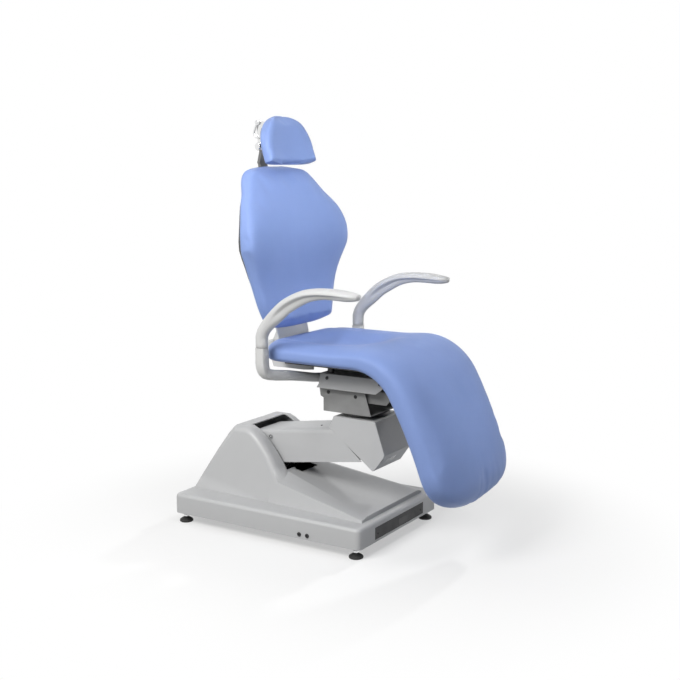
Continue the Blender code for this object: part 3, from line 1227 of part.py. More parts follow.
def make_backrest(chair, look):
    """Pad, board, hinged spine with its slotted crank, and the headrest sleeve."""
    back = pivot("recline_axis", (0.0, BACK_PIVOT_Y, BACK_PIVOT_Z), BACK_LEAN, chair)
    rings = []
    for up in back_places():
        near = min(up, BACK_HEIGHT - up)
        half = back_half(up) * end_round(near, BACK_CORNER, 2.4)
        shrink = end_round(near, BACK_EDGE, 2.0)
        thin = BACK_THIN * max(up / BACK_HEIGHT - BACK_THIN_FROM, 0.0) / (1 - BACK_THIN_FROM)
        depth = (BACK_EDGE_THICK - thin + 0.25 * back_bow(up)) / 2
        middle = BACK_PLANE - back_bow(up) - depth
        ring = []
        for side, out in pad_ring(half, depth * shrink, depth * shrink, 24, 0.4 * back_bow(up)):
            ring.append((side, middle - out, BACK_BOTTOM + up))
        rings.append(ring)
    piece("backrest_cushion", loft(rings), look["upholstery"], back)
    piece("backrest_board", back_board(), look["board"], back)
    spine_front = behind_board(BOARD_INSET)
    wide, narrow = SPINE_SHOULDERS
    plate_line = [(-SPINE_HALF, -0.004, 0.006), (SPINE_HALF, -0.004, 0.006), (SPINE_HALF, wide, 0.02),
                  (SPINE_NECK, narrow, 0.02), (SPINE_NECK, SPINE_TOP, 0.008),
                  (-SPINE_NECK, SPINE_TOP, 0.008), (-SPINE_NECK, narrow, 0.02), (-SPINE_HALF, wide, 0.02)]
    spine = prism(rounded(plate_line, 3), spine_front, spine_front + SPINE, "Y")
    reach = HINGE_X - 0.001
    tube = rod(HINGE_TUBE_RADIUS, -reach, reach, "X", (0.0, 0.0), 20)
    webs = []
    for x in SPINE_WEBS:
        web = [(spine_front + 0.002, -0.003), (0.0, -0.014), (0.008, 0.010), (spine_front + 0.002, 0.060)]
        webs.append(prism(web, x, x + SPINE))
    lean = BACK_TURN / 2 + BACK_LEAN
    tip = CRANK_DROP / math.cos(BACK_TURN / 2) + CRANK_REACH
    crank = prism(eye_bar((0.0, 0.0), (tip * math.sin(lean), -tip * math.cos(lean)), CRANK_EYE),
                  -CRANK_HALF, CRANK_HALF)
    start = CRANK_DROP - RECLINE_PLAY
    stop = CRANK_DROP / math.cos(BACK_TURN / 2) + RECLINE_PLAY
    slot = prism(eye_bar((start * math.sin(lean), -start * math.cos(lean)),
                         (stop * math.sin(lean), -stop * math.cos(lean)),
                         RECLINE_PIN_RADIUS + RECLINE_PLAY), -0.02, 0.02)
    frame = join(tube, spine, crank, *webs)
    frame = cut(frame, slot, rod(BACK_PIN_RADIUS + RUN, -0.2, 0.2, "X", (0.0, 0.0)))
    piece("backrest_frame", frame, look["grey"], back)
    sleeve_back = POST_BACK + POST_THICK / 2 + RUN + SLEEVE_WALL
    wide = POST_WIDE / 2 + RUN
    cheek = wide + SLEEVE_CHEEK
    sleeve_front = behind_board(BACK_HEIGHT - BOARD_INSET)
    sleeve = box((-cheek, cheek), (sleeve_front, sleeve_back), (SLEEVE_FOOT, SLEEVE_TOP))
    sleeve = soften(sleeve, 0.002, 1, lambda e: abs(e.verts[0].co.z - e.verts[1].co.z) > 0.1)
    bore = box((-wide, wide), (POST_BACK - POST_THICK / 2 - RUN, POST_BACK + POST_THICK / 2 + RUN),
               (SLEEVE_FOOT - 0.01, SLEEVE_TOP + 0.01))
    piece("headrest_sleeve", cut(sleeve, bore), look["black"], back)
    make_headrest(back, look)


def head_half(up):
    """Half-width of the headrest pad: upright sides under a half-round top."""
    straight = HEAD_PAD_STRAIGHT * HEAD_PAD_HEIGHT
    if up <= straight:
        return HEAD_PAD_HALF
    share = (up - straight) / (HEAD_PAD_HEIGHT - straight)
    return HEAD_PAD_HALF * max(1 - share ** HEAD_PAD_POWER, 0.0) ** (1 / HEAD_PAD_POWER)


def make_headrest(back, look):
    """Sliding post, tilting pad on its carrier, clamp knob and sprung lever."""
    slide = pivot("headrest_slide", (0.0, POST_BACK, 0.0), 0.0, back)
    thick = POST_THICK / 2
    turn = TILT_UP - NECK_RISE
    reach = EAR_X - 0.001
    tilt_at = (TILT_BACK - POST_BACK, TILT_UP)
    bar = box((-POST_WIDE / 2, POST_WIDE / 2), (-thick, thick), (POST_FOOT, turn + thick))
    neck = prism(eye_bar((0.0, turn), tilt_at, thick - 0.0005), -reach, reach)
    eye = rod(TILT_EYE, -reach, reach, "X", tilt_at, 20)
    post = cut(join(bar, neck, eye), rod(TILT_PIN_RADIUS + RUN, -0.1, 0.1, "X", tilt_at, 12))
    piece("headrest_post", post, look["dark_steel"], slide)
    tilt = pivot("headrest_axis", (0.0, TILT_BACK, TILT_UP), HEAD_LEAN, back)
    foot = HEAD_PAD_FOOT - TILT_UP
    rings = []
    pad_back = HEAD_PAD_BACK - TILT_BACK
    middle = pad_back - HEAD_PAD_THICK / 2
    for up in spaced(HEAD_PAD_HEIGHT, 6, 0.045, 8):
        half = head_half(up) * end_round(up, HEAD_PAD_CORNER, 2.4)
        near = min(up, HEAD_PAD_HEIGHT - up)
        thick = HEAD_PAD_THICK / 2 * end_round(near, HEAD_PAD_EDGE, 2.0)
        dish = HEAD_DISH * math.sin(math.pi * up / HEAD_PAD_HEIGHT)
        ring = []
        for side, out in pad_ring(half, thick, thick, 24, -dish):
            ring.append((side, middle - out, foot + up))
        rings.append(ring)
    piece("headrest_cushion", loft(rings), look["upholstery"], tilt)
    board_front = pad_back + GAP
    outline = board_outline(head_half, HEAD_PAD_HEIGHT, foot, BOARD_INSET, 12)
    piece("headrest_board", prism(outline, board_front, board_front + HEAD_BOARD, "Y"), look["board"], tilt)
    plate_front = board_front + HEAD_BOARD + GAP
    half, low, high = CARRIER_PLATE
    plate = box((-half, half), (plate_front, plate_front + CARRIER), (low, high))
    lever_y = LEVER_BACK - TILT_BACK
    lever_z = LEVER_UP - TILT_UP
    ear = [(plate_front + CARRIER / 2, EAR_FOOT[0]), *EAR_NOSE]
    ear += [(lever_y + y, lever_z + z) for y, z in EAR_TOP]
    ear.append((plate_front + CARRIER / 2, EAR_FOOT[1]))
    ears = [prism(ear, side * EAR_X, side * (EAR_X + EAR)) for side in (-1, 1)]
    bores = [rod(TILT_PIN_RADIUS + GAP, -0.1, 0.1, "X", (0.0, 0.0), 12),
             rod(LEVER_PIN_RADIUS + GAP, -0.1, 0.1, "X", (lever_y, lever_z), 12)]
    piece("headrest_carrier", cut(join(plate, *ears), *bores), look["chrome"], tilt)
    outside = EAR_X + EAR
    piece("headrest_tilt_pin", rod(TILT_PIN_RADIUS, -outside - 0.010, outside + 0.003, "X", (0.0, 0.0), 12),
          look["chrome"], tilt)
    profile = [(KNOB_RADIUS - 0.004, -outside - 0.001), (KNOB_RADIUS, -outside - 0.005),
               (KNOB_RADIUS, -outside - KNOB_LENGTH + 0.006),
               (KNOB_RADIUS - 0.005, -outside - KNOB_LENGTH)]
    knob = cut(turned(profile, "X", sides=16),
               rod(TILT_PIN_RADIUS + RUN, -outside - 0.0105, 0.0, "X", (0.0, 0.0), 12))
    piece("headrest_clamp_knob", knob, look["chrome"], pivot("knob_axis", (0.0, 0.0, 0.0), 0.0, tilt))
    piece("lever_pin", rod(LEVER_PIN_RADIUS, -outside - 0.010, outside + 0.002, "X",
                           (lever_y, lever_z), 12), look["chrome"], tilt)
    lever = pivot("lever_axis", (0.0, lever_y, lever_z), 0.0, tilt)
    piece("headrest_lever", lever_wire(outside), look["chrome"], lever)


def lever_wire(outside):
    """Bent wire lever with an eye on its pin, on the right of the headrest."""
    x = -outside - LEVER_OUT
    path = smooth([(x, y, z) for y, z in LEVER_ROUTE], 3)
    wire = swept(path, [(2 * LEVER_WIRE, 2 * LEVER_WIRE)] * len(path), Vector((1.0, 0.0, 0.0)))
    eye = rod(LEVER_EYE, x - LEVER_WIRE, x + LEVER_WIRE, "X")
    return cut(join(eye, wire), rod(LEVER_PIN_RADIUS + RUN, -0.1, 0.1, "X", (0.0, 0.0), 12))


def main():
    """Empty the scene and build the chair."""
    for item in list(bpy.data.objects):
        bpy.data.objects.remove(item)
    look = {
        "enamel": shade("light grey enamel", (0.56, 0.57, 0.58), 0.35, 0.0),
        "arm": shade("light grey arm", (0.62, 0.62, 0.62), 0.4, 0.0),
        "grey": shade("grey enamel", (0.45, 0.46, 0.46), 0.4, 0.0),
        "mid_grey": shade("mid grey enamel", (0.30, 0.30, 0.31), 0.45, 0.0),
        "panel": shade("dark grey panel", (0.10, 0.10, 0.11), 0.5, 0.0),
        "black": shade("black plastic", (0.012, 0.012, 0.013), 0.5, 0.0),
        "dark_steel": shade("dark steel", (0.09, 0.09, 0.095), 0.45, 0.9),
        "steel": shade("bright steel", (0.55, 0.55, 0.56), 0.3, 1.0),
        "chrome": shade("chrome", (0.80, 0.80, 0.82), 0.12, 1.0),
        "board": shade("backing board", (0.03, 0.03, 0.035), 0.7, 0.0),
        "upholstery": shade("blue upholstery", (0.22, 0.31, 0.65), 0.5, 0.0),
    }
    chair = pivot("chair", (0.0, -(BASE_LENGTH + LEG_FRONT) / 2, 0.0))
    make_base(chair, look)
    make_lift_arm(chair, look)
    make_links(chair, look)
    make_lift_drive(chair, look)
    make_head(chair, look)
    make_seat(chair, look)
    make_backrest(chair, look)


main()
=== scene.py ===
"""Looks of an ear, nose and throat treatment chair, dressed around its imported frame."""
import json
import math

import bmesh
import bpy
import numpy as np
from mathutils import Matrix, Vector

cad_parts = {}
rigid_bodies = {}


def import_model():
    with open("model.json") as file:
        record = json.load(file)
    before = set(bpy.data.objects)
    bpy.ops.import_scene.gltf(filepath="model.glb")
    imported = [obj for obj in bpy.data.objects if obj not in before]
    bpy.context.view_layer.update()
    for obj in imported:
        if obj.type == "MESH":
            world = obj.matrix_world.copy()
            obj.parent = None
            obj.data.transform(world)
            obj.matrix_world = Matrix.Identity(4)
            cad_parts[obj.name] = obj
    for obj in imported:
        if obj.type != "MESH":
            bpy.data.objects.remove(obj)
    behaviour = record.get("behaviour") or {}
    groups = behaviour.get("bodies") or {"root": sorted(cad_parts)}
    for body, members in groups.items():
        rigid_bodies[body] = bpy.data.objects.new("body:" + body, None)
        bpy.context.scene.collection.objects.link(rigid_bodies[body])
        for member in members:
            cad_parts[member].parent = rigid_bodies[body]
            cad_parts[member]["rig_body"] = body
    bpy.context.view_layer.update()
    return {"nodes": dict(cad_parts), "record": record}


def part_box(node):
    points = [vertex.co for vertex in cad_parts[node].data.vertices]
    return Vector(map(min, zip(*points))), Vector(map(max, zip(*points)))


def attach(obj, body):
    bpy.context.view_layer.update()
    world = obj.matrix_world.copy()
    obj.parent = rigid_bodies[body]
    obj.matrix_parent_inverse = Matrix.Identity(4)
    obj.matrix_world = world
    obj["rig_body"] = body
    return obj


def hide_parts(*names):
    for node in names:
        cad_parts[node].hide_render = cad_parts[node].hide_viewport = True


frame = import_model()
scene = bpy.context.scene

# Places of the frame in metres; depths are counted from the front edge of the base
SHIFT = 0.23535
SEAT_REAR, SEAT_MID_Z, SEAT_HALF = 0.430, 0.655, 0.268
PAD_THICK, LEG_THICK = 0.067, 0.086
KNEE_START, KNEE_RADIUS, KNEE_TURN = 0.040, 0.190, math.radians(60)
LEG_RADIUS, LEG_LENGTH = 1.5, 0.412
SEAT_FLAT = SEAT_REAR - KNEE_START
KNEE_LENGTH = KNEE_RADIUS * KNEE_TURN
SEAT_LENGTH = SEAT_FLAT + KNEE_LENGTH + LEG_LENGTH
BACK_PIVOT, BACK_LEAN = (0.468, 0.658), math.radians(11)
BACK_PLANE, BACK_THICK, BACK_BULGE, BACK_SKEW = -0.0425, 0.068, 0.038, 1.6
BACK_BOTTOM, BACK_HEIGHT = 0.050, 0.566
BACK_SIDES = ((0.0, 0.172), (0.052, 0.203), (0.138, 0.238), (0.225, 0.280), (0.300, 0.313),
              (0.403, 0.285), (0.473, 0.231), (0.536, 0.172), (0.566, 0.122))
HEAD_PIVOT, HEAD_LEAN = (-0.0435, 0.690), math.radians(6)
HEAD_FOOT, HEAD_HEIGHT, HEAD_HALF = -0.091, 0.175, 0.139
HEAD_BACK, HEAD_THICK = -0.0625, 0.050
POST_X, POST_Y, POST_SEAM = 0.307, 0.357, 0.684
ARM_ROUTE = ((0.000, 0.036), (-0.011, 0.061), (-0.044, 0.101), (-0.096, 0.148), (-0.160, 0.180),
             (-0.215, 0.191), (-0.280, 0.193), (-0.345, 0.191), (-0.378, 0.190))

# Sockets of the mix node: its factor, then both inputs and the output for colours and for vectors
MIX_FACTOR = 0
COLOUR_A, COLOUR_B, COLOUR_OUT = 6, 7, 2
VECTOR_A, VECTOR_B, VECTOR_OUT = 4, 5, 1

# Surfaces: shares of the relief, the pointiness of worn edges and the noise that gloss follows
CELL_WARP, FINE_SHARE = 0.0025, 0.35
WARP_SCALE, FINE_SCALE, SMEAR_SCALE = 0.35, 2.3, 3.1
BRUSH_STRETCH = (0.05, 1.0, 1.0)
EDGE_RANGE = {"From Min": 0.53, "From Max": 0.64}
GLOSS_RANGE = {"From Min": 0.3, "From Max": 0.7}
LEAST_ROUGH, SHEEN_ROUGH = 0.03, 0.45


class Nodes:
    """Small helper that adds and links shader nodes."""

    def __init__(self, owner):
        owner.use_nodes = True
        self.tree = owner.node_tree
        self.tree.nodes.clear()

    def add(self, kind, inputs=None, **properties):
        """New node with its properties and the values of its inputs."""
        node = self.tree.nodes.new(kind)
        for key, value in properties.items():
            setattr(node, key, value)
        for key, value in (inputs or {}).items():
            node.inputs[key].default_value = value
        return node

    def link(self, source, target):
        """Link from an output to an input."""
        self.tree.links.new(source, target)

    def noise(self, place, scale, detail, roughness=0.5):
        """Noise texture read at a place."""
        node = self.add("ShaderNodeTexNoise", {"Scale": scale, "Detail": detail, "Roughness": roughness})
        self.link(place, node.inputs["Vector"])
        return node

    def rays(self, first, *others):
        """1 for the named kinds of ray and 0 for all others."""
        path = self.add("ShaderNodeLightPath")
        total = path.outputs[first]
        for kind in others:
            both = self.add("ShaderNodeMath", operation="ADD", use_clamp=True)
            self.link(total, both.inputs[0])
            self.link(path.outputs[kind], both.inputs[1])
            total = both.outputs[0]
        return total

    def blend(self, share, plain, bright, out):
        """Output that goes from one shader to another by a share."""
        mix = self.add("ShaderNodeMixShader")
        self.link(share, mix.inputs[0])
        self.link(plain.outputs[0], mix.inputs[1])
        self.link(bright.outputs[0], mix.inputs[2])
        self.link(mix.outputs[0], out.inputs["Surface"])


def peel_height(nodes, place, scale):
    """Height of paint or moulded plastic: shallow rounded noise."""
    return nodes.noise(place, scale, detail=3.0, roughness=0.55).outputs["Fac"]


def brushed_height(nodes, place, scale):
    """Height of brushed metal: noise drawn out along one direction."""
    stretch = nodes.add("ShaderNodeMapping", {"Scale": BRUSH_STRETCH})
    nodes.link(place, stretch.inputs["Vector"])
    return nodes.noise(stretch.outputs[0], scale, detail=6.0, roughness=0.7).outputs["Fac"]


def leather_height(nodes, place, scale):
    """Height of a grained skin: warped cells with fine noise over them."""
    warp = nodes.noise(place, scale * WARP_SCALE, detail=2.0)
    bend = nodes.add("ShaderNodeMix", {MIX_FACTOR: CELL_WARP}, data_type="VECTOR")
    nodes.link(place, bend.inputs[VECTOR_A])
    nodes.link(warp.outputs["Color"], bend.inputs[VECTOR_B])
    cells = nodes.add("ShaderNodeTexVoronoi", {"Scale": scale}, feature="F1")
    nodes.link(bend.outputs[VECTOR_OUT], cells.inputs["Vector"])
    fine = nodes.noise(place, scale * FINE_SCALE, detail=4.0)
    both = nodes.add("ShaderNodeMath", {1: FINE_SHARE}, operation="MULTIPLY_ADD")
    nodes.link(fine.outputs["Fac"], both.inputs[0])
    nodes.link(cells.outputs["Distance"], both.inputs[2])
    return both.outputs[0]


def worn_edges(nodes, shade, cloud, worn):
    """Shade that turns to the worn colour along edges, in patches."""
    edge = nodes.add("ShaderNodeNewGeometry").outputs["Pointiness"]
    ramp = nodes.add("ShaderNodeMapRange", EDGE_RANGE)
    nodes.link(edge, ramp.inputs["Value"])
    patchy = nodes.add("ShaderNodeMath", operation="MULTIPLY")
    nodes.link(ramp.outputs[0], patchy.inputs[0])
    nodes.link(cloud, patchy.inputs[1])
    wear = nodes.add("ShaderNodeMix", {COLOUR_B: (*worn, 1.0)}, data_type="RGBA")
    nodes.link(patchy.outputs[0], wear.inputs[MIX_FACTOR])
    nodes.link(shade, wear.inputs[COLOUR_A])
    return wear.outputs[COLOUR_OUT]


def finish(name, colour, rough, metal=0.0, mottle=0.04, mottle_scale=14.0, swing=0.06, grain=0.25,
           grain_scale=520.0, depth=0.0003, relief=peel_height, specular=0.5, sheen=0.0, worn=None):
    """Procedural surface: mottled colour, uneven gloss, fine relief and worn edges."""
    material = bpy.data.materials.new(name)
    nodes = Nodes(material)
    out = nodes.add("ShaderNodeOutputMaterial")
    shader = nodes.add("ShaderNodeBsdfPrincipled",
                       {"Metallic": metal, "Specular IOR Level": specular,
                        "Sheen Weight": sheen, "Sheen Roughness": SHEEN_ROUGH})
    nodes.link(shader.outputs[0], out.inputs["Surface"])
    place = nodes.add("ShaderNodeTexCoord").outputs["Object"]
    cloud = nodes.noise(place, mottle_scale, detail=5.0, roughness=0.6).outputs["Fac"]
    darker = tuple(c * (1 - mottle) for c in colour) + (1.0,)
    lighter = tuple(min(c * (1 + mottle), 1.0) for c in colour) + (1.0,)
    tone = nodes.add("ShaderNodeMix", {COLOUR_A: darker, COLOUR_B: lighter}, data_type="RGBA")
    nodes.link(cloud, tone.inputs[MIX_FACTOR])
    shade = tone.outputs[COLOUR_OUT]
    if worn:
        shade = worn_edges(nodes, shade, cloud, worn)
    nodes.link(shade, shader.inputs["Base Color"])
    spread = {"To Min": max(rough - swing, LEAST_ROUGH), "To Max": rough + swing}
    gloss = nodes.add("ShaderNodeMapRange", {**GLOSS_RANGE, **spread})
    smear = nodes.noise(place, mottle_scale * SMEAR_SCALE, detail=6.0)
    nodes.link(smear.outputs["Fac"], gloss.inputs["Value"])
    nodes.link(gloss.outputs[0], shader.inputs["Roughness"])
    raised = nodes.add("ShaderNodeBump", {"Strength": grain, "Distance": depth})
    nodes.link(relief(nodes, place, grain_scale), raised.inputs["Height"])
    nodes.link(raised.outputs[0], shader.inputs["Normal"])
    return material


# Looks, and the look that each CAD material slot takes
VINYL = finish("blue_vinyl", (0.238, 0.334, 0.645), 0.46, mottle=0.05, mottle_scale=7.0, swing=0.05,
               grain=0.30, grain_scale=820.0, depth=0.00025, relief=leather_height, specular=0.13,
               sheen=0.02)
MOULDING = finish("grey_moulding", (0.530, 0.535, 0.543), 0.40, mottle=0.025, grain=0.20,
                  grain_scale=420.0, depth=0.00025, worn=(0.66, 0.66, 0.66))
ARM_FOAM = finish("grey_arm_foam", (0.580, 0.582, 0.584), 0.50, mottle=0.02, grain=0.28,
                  grain_scale=900.0, depth=0.0002, relief=leather_height, specular=0.4)
ENAMEL = finish("light_enamel", (0.600, 0.602, 0.600), 0.34, mottle=0.02, grain=0.18,
                grain_scale=520.0, worn=(0.70, 0.70, 0.69))
GREY = finish("grey_enamel", (0.560, 0.562, 0.560), 0.36, mottle=0.03, grain=0.22,
              grain_scale=480.0, worn=(0.64, 0.64, 0.63))
# Mid-grey enamel, made darker than its paint as painted shade for the brackets under the seat channel
MID = finish("mid_enamel_and_painted_shade", (0.208, 0.209, 0.208), 0.38, mottle=0.04, grain=0.22,
             grain_scale=480.0, worn=(0.56, 0.56, 0.55))
PLUG = finish("grey_plastic", (0.470, 0.475, 0.480), 0.45, grain_scale=700.0)
PANEL = finish("dark_panel", (0.034, 0.034, 0.035), 0.52, mottle=0.05, grain=0.35, grain_scale=900.0,
               specular=0.25, worn=(0.20, 0.20, 0.20))
BLANK = finish("bare_plate", (0.560, 0.565, 0.570), 0.30, metal=0.4, mottle=0.02, grain=0.12,
               grain_scale=300.0, relief=brushed_height)
DARK_BLANK = finish("bare_dark_plate", (0.014, 0.014, 0.015), 0.42, grain=0.15, grain_scale=700.0)
BLACK = finish("black_plastic", (0.022, 0.022, 0.023), 0.42, mottle=0.10, grain=0.30, grain_scale=1100.0)
RUBBER = finish("black_rubber", (0.018, 0.018, 0.018), 0.66, mottle=0.15, grain=0.35, grain_scale=1300.0,
                worn=(0.05, 0.05, 0.05))
COATED = finish("black_enamel", (0.026, 0.026, 0.027), 0.36, mottle=0.08, grain=0.25, grain_scale=600.0,
                worn=(0.10, 0.10, 0.10))
DARK_STEEL = finish("dark_steel", (0.180, 0.182, 0.185), 0.36, metal=1.0, mottle=0.08, grain=0.25,
                    grain_scale=900.0, relief=brushed_height, worn=(0.42, 0.42, 0.42))
CASTING = finish("dark_casting", (0.120, 0.121, 0.123), 0.58, metal=0.3, mottle=0.12, grain=0.5,
                 grain_scale=360.0, depth=0.0006)
STEEL = finish("bright_steel", (0.560, 0.565, 0.570), 0.27, metal=1.0, mottle=0.05, grain=0.22,
               grain_scale=1100.0, relief=brushed_height)
CHROME = finish("chrome", (0.800, 0.805, 0.810), 0.09, metal=1.0, mottle=0.02, swing=0.03, grain=0.04,
                grain_scale=260.0)
BOARD = finish("backing_board", (0.060, 0.062, 0.066), 0.55, mottle=0.10, grain=0.45, grain_scale=760.0,
               relief=leather_height, worn=(0.11, 0.11, 0.115))
FROM_SLOT = {"light_grey_moulding": MOULDING, "light_grey_arm": ARM_FOAM, "light_grey_enamel": ENAMEL,
             "grey_enamel": GREY, "grey_plastic": PLUG, "mid_grey_enamel": MID, "dark_grey_panel": PANEL,
             "black_plastic": BLACK, "black_rubber": RUBBER, "black_enamel": COATED,
             "dark_steel": DARK_STEEL, "dark_casting": CASTING, "bright_steel": STEEL, "chrome": CHROME,
             "board": BOARD, "blue_upholstery": VINYL}
SLOTS = {entry["node"]: entry["material_slot"] for entry in frame["record"]["subparts"]}

for cad_name, cad_object in frame["nodes"].items():
    chosen = FROM_SLOT.get(SLOTS.get(cad_name), MID)
    if not cad_object.material_slots:
        cad_object.data.materials.append(chosen)
    for cad_slot in cad_object.material_slots:
        cad_slot.material = chosen

# Angles in degrees over which an edge is shaded sharp
PAD_SHARP, ARM_SHARP, SMALL_SHARP, DRESS_SHARP = 180.0, 50.0, 35.0, 30.0
# Rounded edges of a CAD mesh: merge distance and flat angle of its clean-up, and the round's profile
MERGE_DISTANCE, FLAT_ANGLE = 0.00002, math.radians(1.5)
ROUND_PROFILE = 0.5


def body_of(node):
    """Name of the body that carries a CAD node."""
    return frame["nodes"][node]["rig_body"]


def add_piece(name, shape, look, carrier, angle, stands_for=()):
    """Object from a bmesh, shaded smooth over soft edges, riding on a body."""
    bmesh.ops.recalc_face_normals(shape, faces=shape.faces)
    mesh = bpy.data.meshes.new(name)
    shape.to_mesh(mesh)
    shape.free()
    for entry in look if isinstance(look, tuple) else (look,):
        mesh.materials.append(entry)
    mesh.polygons.foreach_set("use_smooth", [True] * len(mesh.polygons))
    mesh.set_sharp_from_angle(angle=math.radians(angle))
    item = bpy.data.objects.new(name, mesh)
    scene.collection.objects.link(item)
    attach(item, carrier)
    if stands_for:
        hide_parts(*stands_for)
    return item


def cad_copy(node):
    """Merged copy of a CAD node's mesh with its flat faces whole again."""
    shape = bmesh.new()
    shape.from_mesh(frame["nodes"][node].data)
    bmesh.ops.remove_doubles(shape, verts=shape.verts, dist=MERGE_DISTANCE)
    bmesh.ops.dissolve_limit(shape, angle_limit=FLAT_ANGLE, verts=shape.verts, edges=shape.edges)
    return shape


def dress(name, node, look, bevel, segments=3, angle=28.0):
    """Piece with a CAD node's shape and rounded outer edges."""
    shape = cad_copy(node)
    sharp = []
    for edge in shape.edges:
        if len(edge.link_faces) == 2 and edge.is_convex:
            if edge.calc_face_angle(0.0) > math.radians(angle):
                sharp.append(edge)
    if sharp:
        bmesh.ops.bevel(shape, geom=sharp, offset=bevel, offset_type="OFFSET", segments=segments,
                        profile=ROUND_PROFILE, affect="EDGES", clamp_overlap=True, loop_slide=True)
    item = add_piece(name, shape, look, body_of(node), DRESS_SHARP, (node,))
    weigh = item.modifiers.new("even_normals", "WEIGHTED_NORMAL")
    weigh.keep_sharp = True


def ease(value, low, high):
    """Smooth step from 0 at low to 1 at high."""
    t = min(max((value - low) / (high - low), 0.0), 1.0)
    return t * t * (3 - 2 * t)


def bump(value, centre, reach):
    """Soft hump of height 1 at its centre."""
    return math.exp(-((value - centre) / reach) ** 2)


def end_round(distance, reach, power):
    """Share of full size at a distance from a rounded end."""
    if distance >= reach:
        return 1.0
    return max(1 - (1 - distance / reach) ** power, 0.0) ** (1 / power)


def spaced(length, fine, reach, middle):
    """Places along a length, closer together near both ends."""
    ends = [reach * (1 - math.cos(math.pi / 2 * i / fine)) for i in range(1, fine)]
    inner = [reach + (length - 2 * reach) * i / middle for i in range(middle + 1)]
    return ends + inner + [length - place for place in reversed(ends)]


def curve_through(points, steps):
    """Catmull-Rom curve through given points."""
    knots = [Vector(point) for point in points]
    knots.insert(0, 2 * knots[0] - knots[1])
    knots.append(2 * knots[-1] - knots[-2])
    curve = []
    for i in range(1, len(knots) - 2):
        before, start, end, after = knots[i - 1:i + 3]
        for step in range(steps):
            t = step / steps
            curve.append(0.5 * (2 * start + (end - before) * t
                                + (2 * before - 5 * start + 4 * end - after) * t * t
                                + (3 * start - before - 3 * end + after) * t ** 3))
    curve.append(knots[-2])
    return curve


def bridge(shape, loops):
    """Quads between neighbouring rings of vertices."""
    count = len(loops[0])
    made = []
    for near, far in zip(loops, loops[1:]):
        for i in range(count):
            j = (i + 1) % count
            made.append(shape.faces.new((near[i], near[j], far[j], far[i])))
    return made


def skin(shape, loops):
    """Closed skin through rings of vertices, with a flat face at both ends."""
    return bridge(shape, loops) + [shape.faces.new(loops[0]), shape.faces.new(loops[-1])]


# Pads: points round a section, rings near an end, squareness, and the depth below which cloth is held
PAD_AROUND, HEAD_AROUND, END_RINGS = 88, 80, 14
PAD_SQUARE, HEAD_SQUARE = (0.36, 0.50), (0.26, 0.38)
SECTION_DENSE, SECTION_FLAT = 1440, 0.30
UNDERSIDE = -0.3
# Cloth that fills a pad from inside, and the number of frames that it runs
CLOTH = {"quality": 6, "mass": 0.35, "tension_stiffness": 18.0, "compression_stiffness": 18.0,
         "shear_stiffness": 8.0, "bending_stiffness": 1.5, "use_pressure": True,
         "uniform_pressure_force": 4.0, "vertex_group_mass": "held"}
CLOTH_FRAMES = 20
SMALLEST_MOVE = 1e-9


def pad_section(count, across, deep):
    """Unit section of a pad, evenly spaced by length, as side and depth pairs."""
    dense = []
    for i in range(SECTION_DENSE):
        angle = 2 * math.pi * (i + 0.5) / SECTION_DENSE
        c, s = math.cos(angle), math.sin(angle)
        dense.append((math.copysign(abs(c) ** across, c), math.copysign(abs(s) ** deep, s)))
    points = np.array(dense)
    stretched = points * (1.0, SECTION_FLAT)
    steps = np.linalg.norm(np.roll(stretched, -1, 0) - stretched, axis=1)
    places = np.concatenate(([0.0], np.cumsum(steps)))
    around = np.vstack((points, points[:1]))
    wanted = (np.arange(count) + 0.5) / count * places[-1]
    return [(float(np.interp(w, places, around[:, 0])), float(np.interp(w, places, around[:, 1])))
            for w in wanted]


def pad_mesh(rings):
    """Quad skin through rings of points, with ends closed by strips."""
    shape = bmesh.new()
    loops = [[shape.verts.new(point) for point in ring] for ring in rings]
    bridge(shape, loops)
    count = len(loops[0])
    for loop in (loops[0], loops[-1]):
        for i in range(count // 2 - 1):
            shape.faces.new((loop[i], loop[i + 1], loop[count - 2 - i], loop[count - 1 - i]))
    bmesh.ops.recalc_face_normals(shape, faces=shape.faces)
    return shape


def evaluated(item):
    """Object as its modifiers leave it."""
    return item.evaluated_get(bpy.context.evaluated_depsgraph_get())


def swell(item, held, cap):
    """Cloth run that fills a pad from inside; moves are capped and then made part of the mesh."""
    group = item.vertex_groups.new(name="held")
    for i, weight in enumerate(held):
        group.add([i], weight, "REPLACE")
    cloth = item.modifiers.new("fill", "CLOTH")
    for key, value in CLOTH.items():
        setattr(cloth.settings, key, value)
    cloth.settings.effector_weights.gravity = 0.0
    cloth.collision_settings.use_collision = False
    cloth.point_cache.frame_start = 1
    cloth.point_cache.frame_end = CLOTH_FRAMES
    for step in range(1, CLOTH_FRAMES + 1):
        scene.frame_set(step)
    shaped = evaluated(item).to_mesh()
    moved = np.zeros(len(shaped.vertices) * 3, np.float32)
    shaped.vertices.foreach_get("co", moved)
    start = np.zeros_like(moved)
    item.data.vertices.foreach_get("co", start)
    move = (moved - start).reshape(-1, 3)
    far = np.linalg.norm(move, axis=1)
    share = cap * np.tanh(far / cap) / np.maximum(far, SMALLEST_MOVE)
    item.data.vertices.foreach_set("co", (start.reshape(-1, 3) + move * share[:, None]).ravel())
    item.modifiers.remove(cloth)
    item.vertex_groups.remove(group)
    scene.frame_set(1)
    item.data.update()


def refine(item):
    """One level of subdivision, kept in the mesh."""
    layer = item.modifiers.new("refine", "SUBSURF")
    layer.levels = 1
    layer.render_levels = 1
    shaped = bpy.data.meshes.new_from_object(evaluated(item))
    item.modifiers.remove(layer)
    item.data = shaped
    shaped.polygons.foreach_set("use_smooth", [True] * len(shaped.polygons))


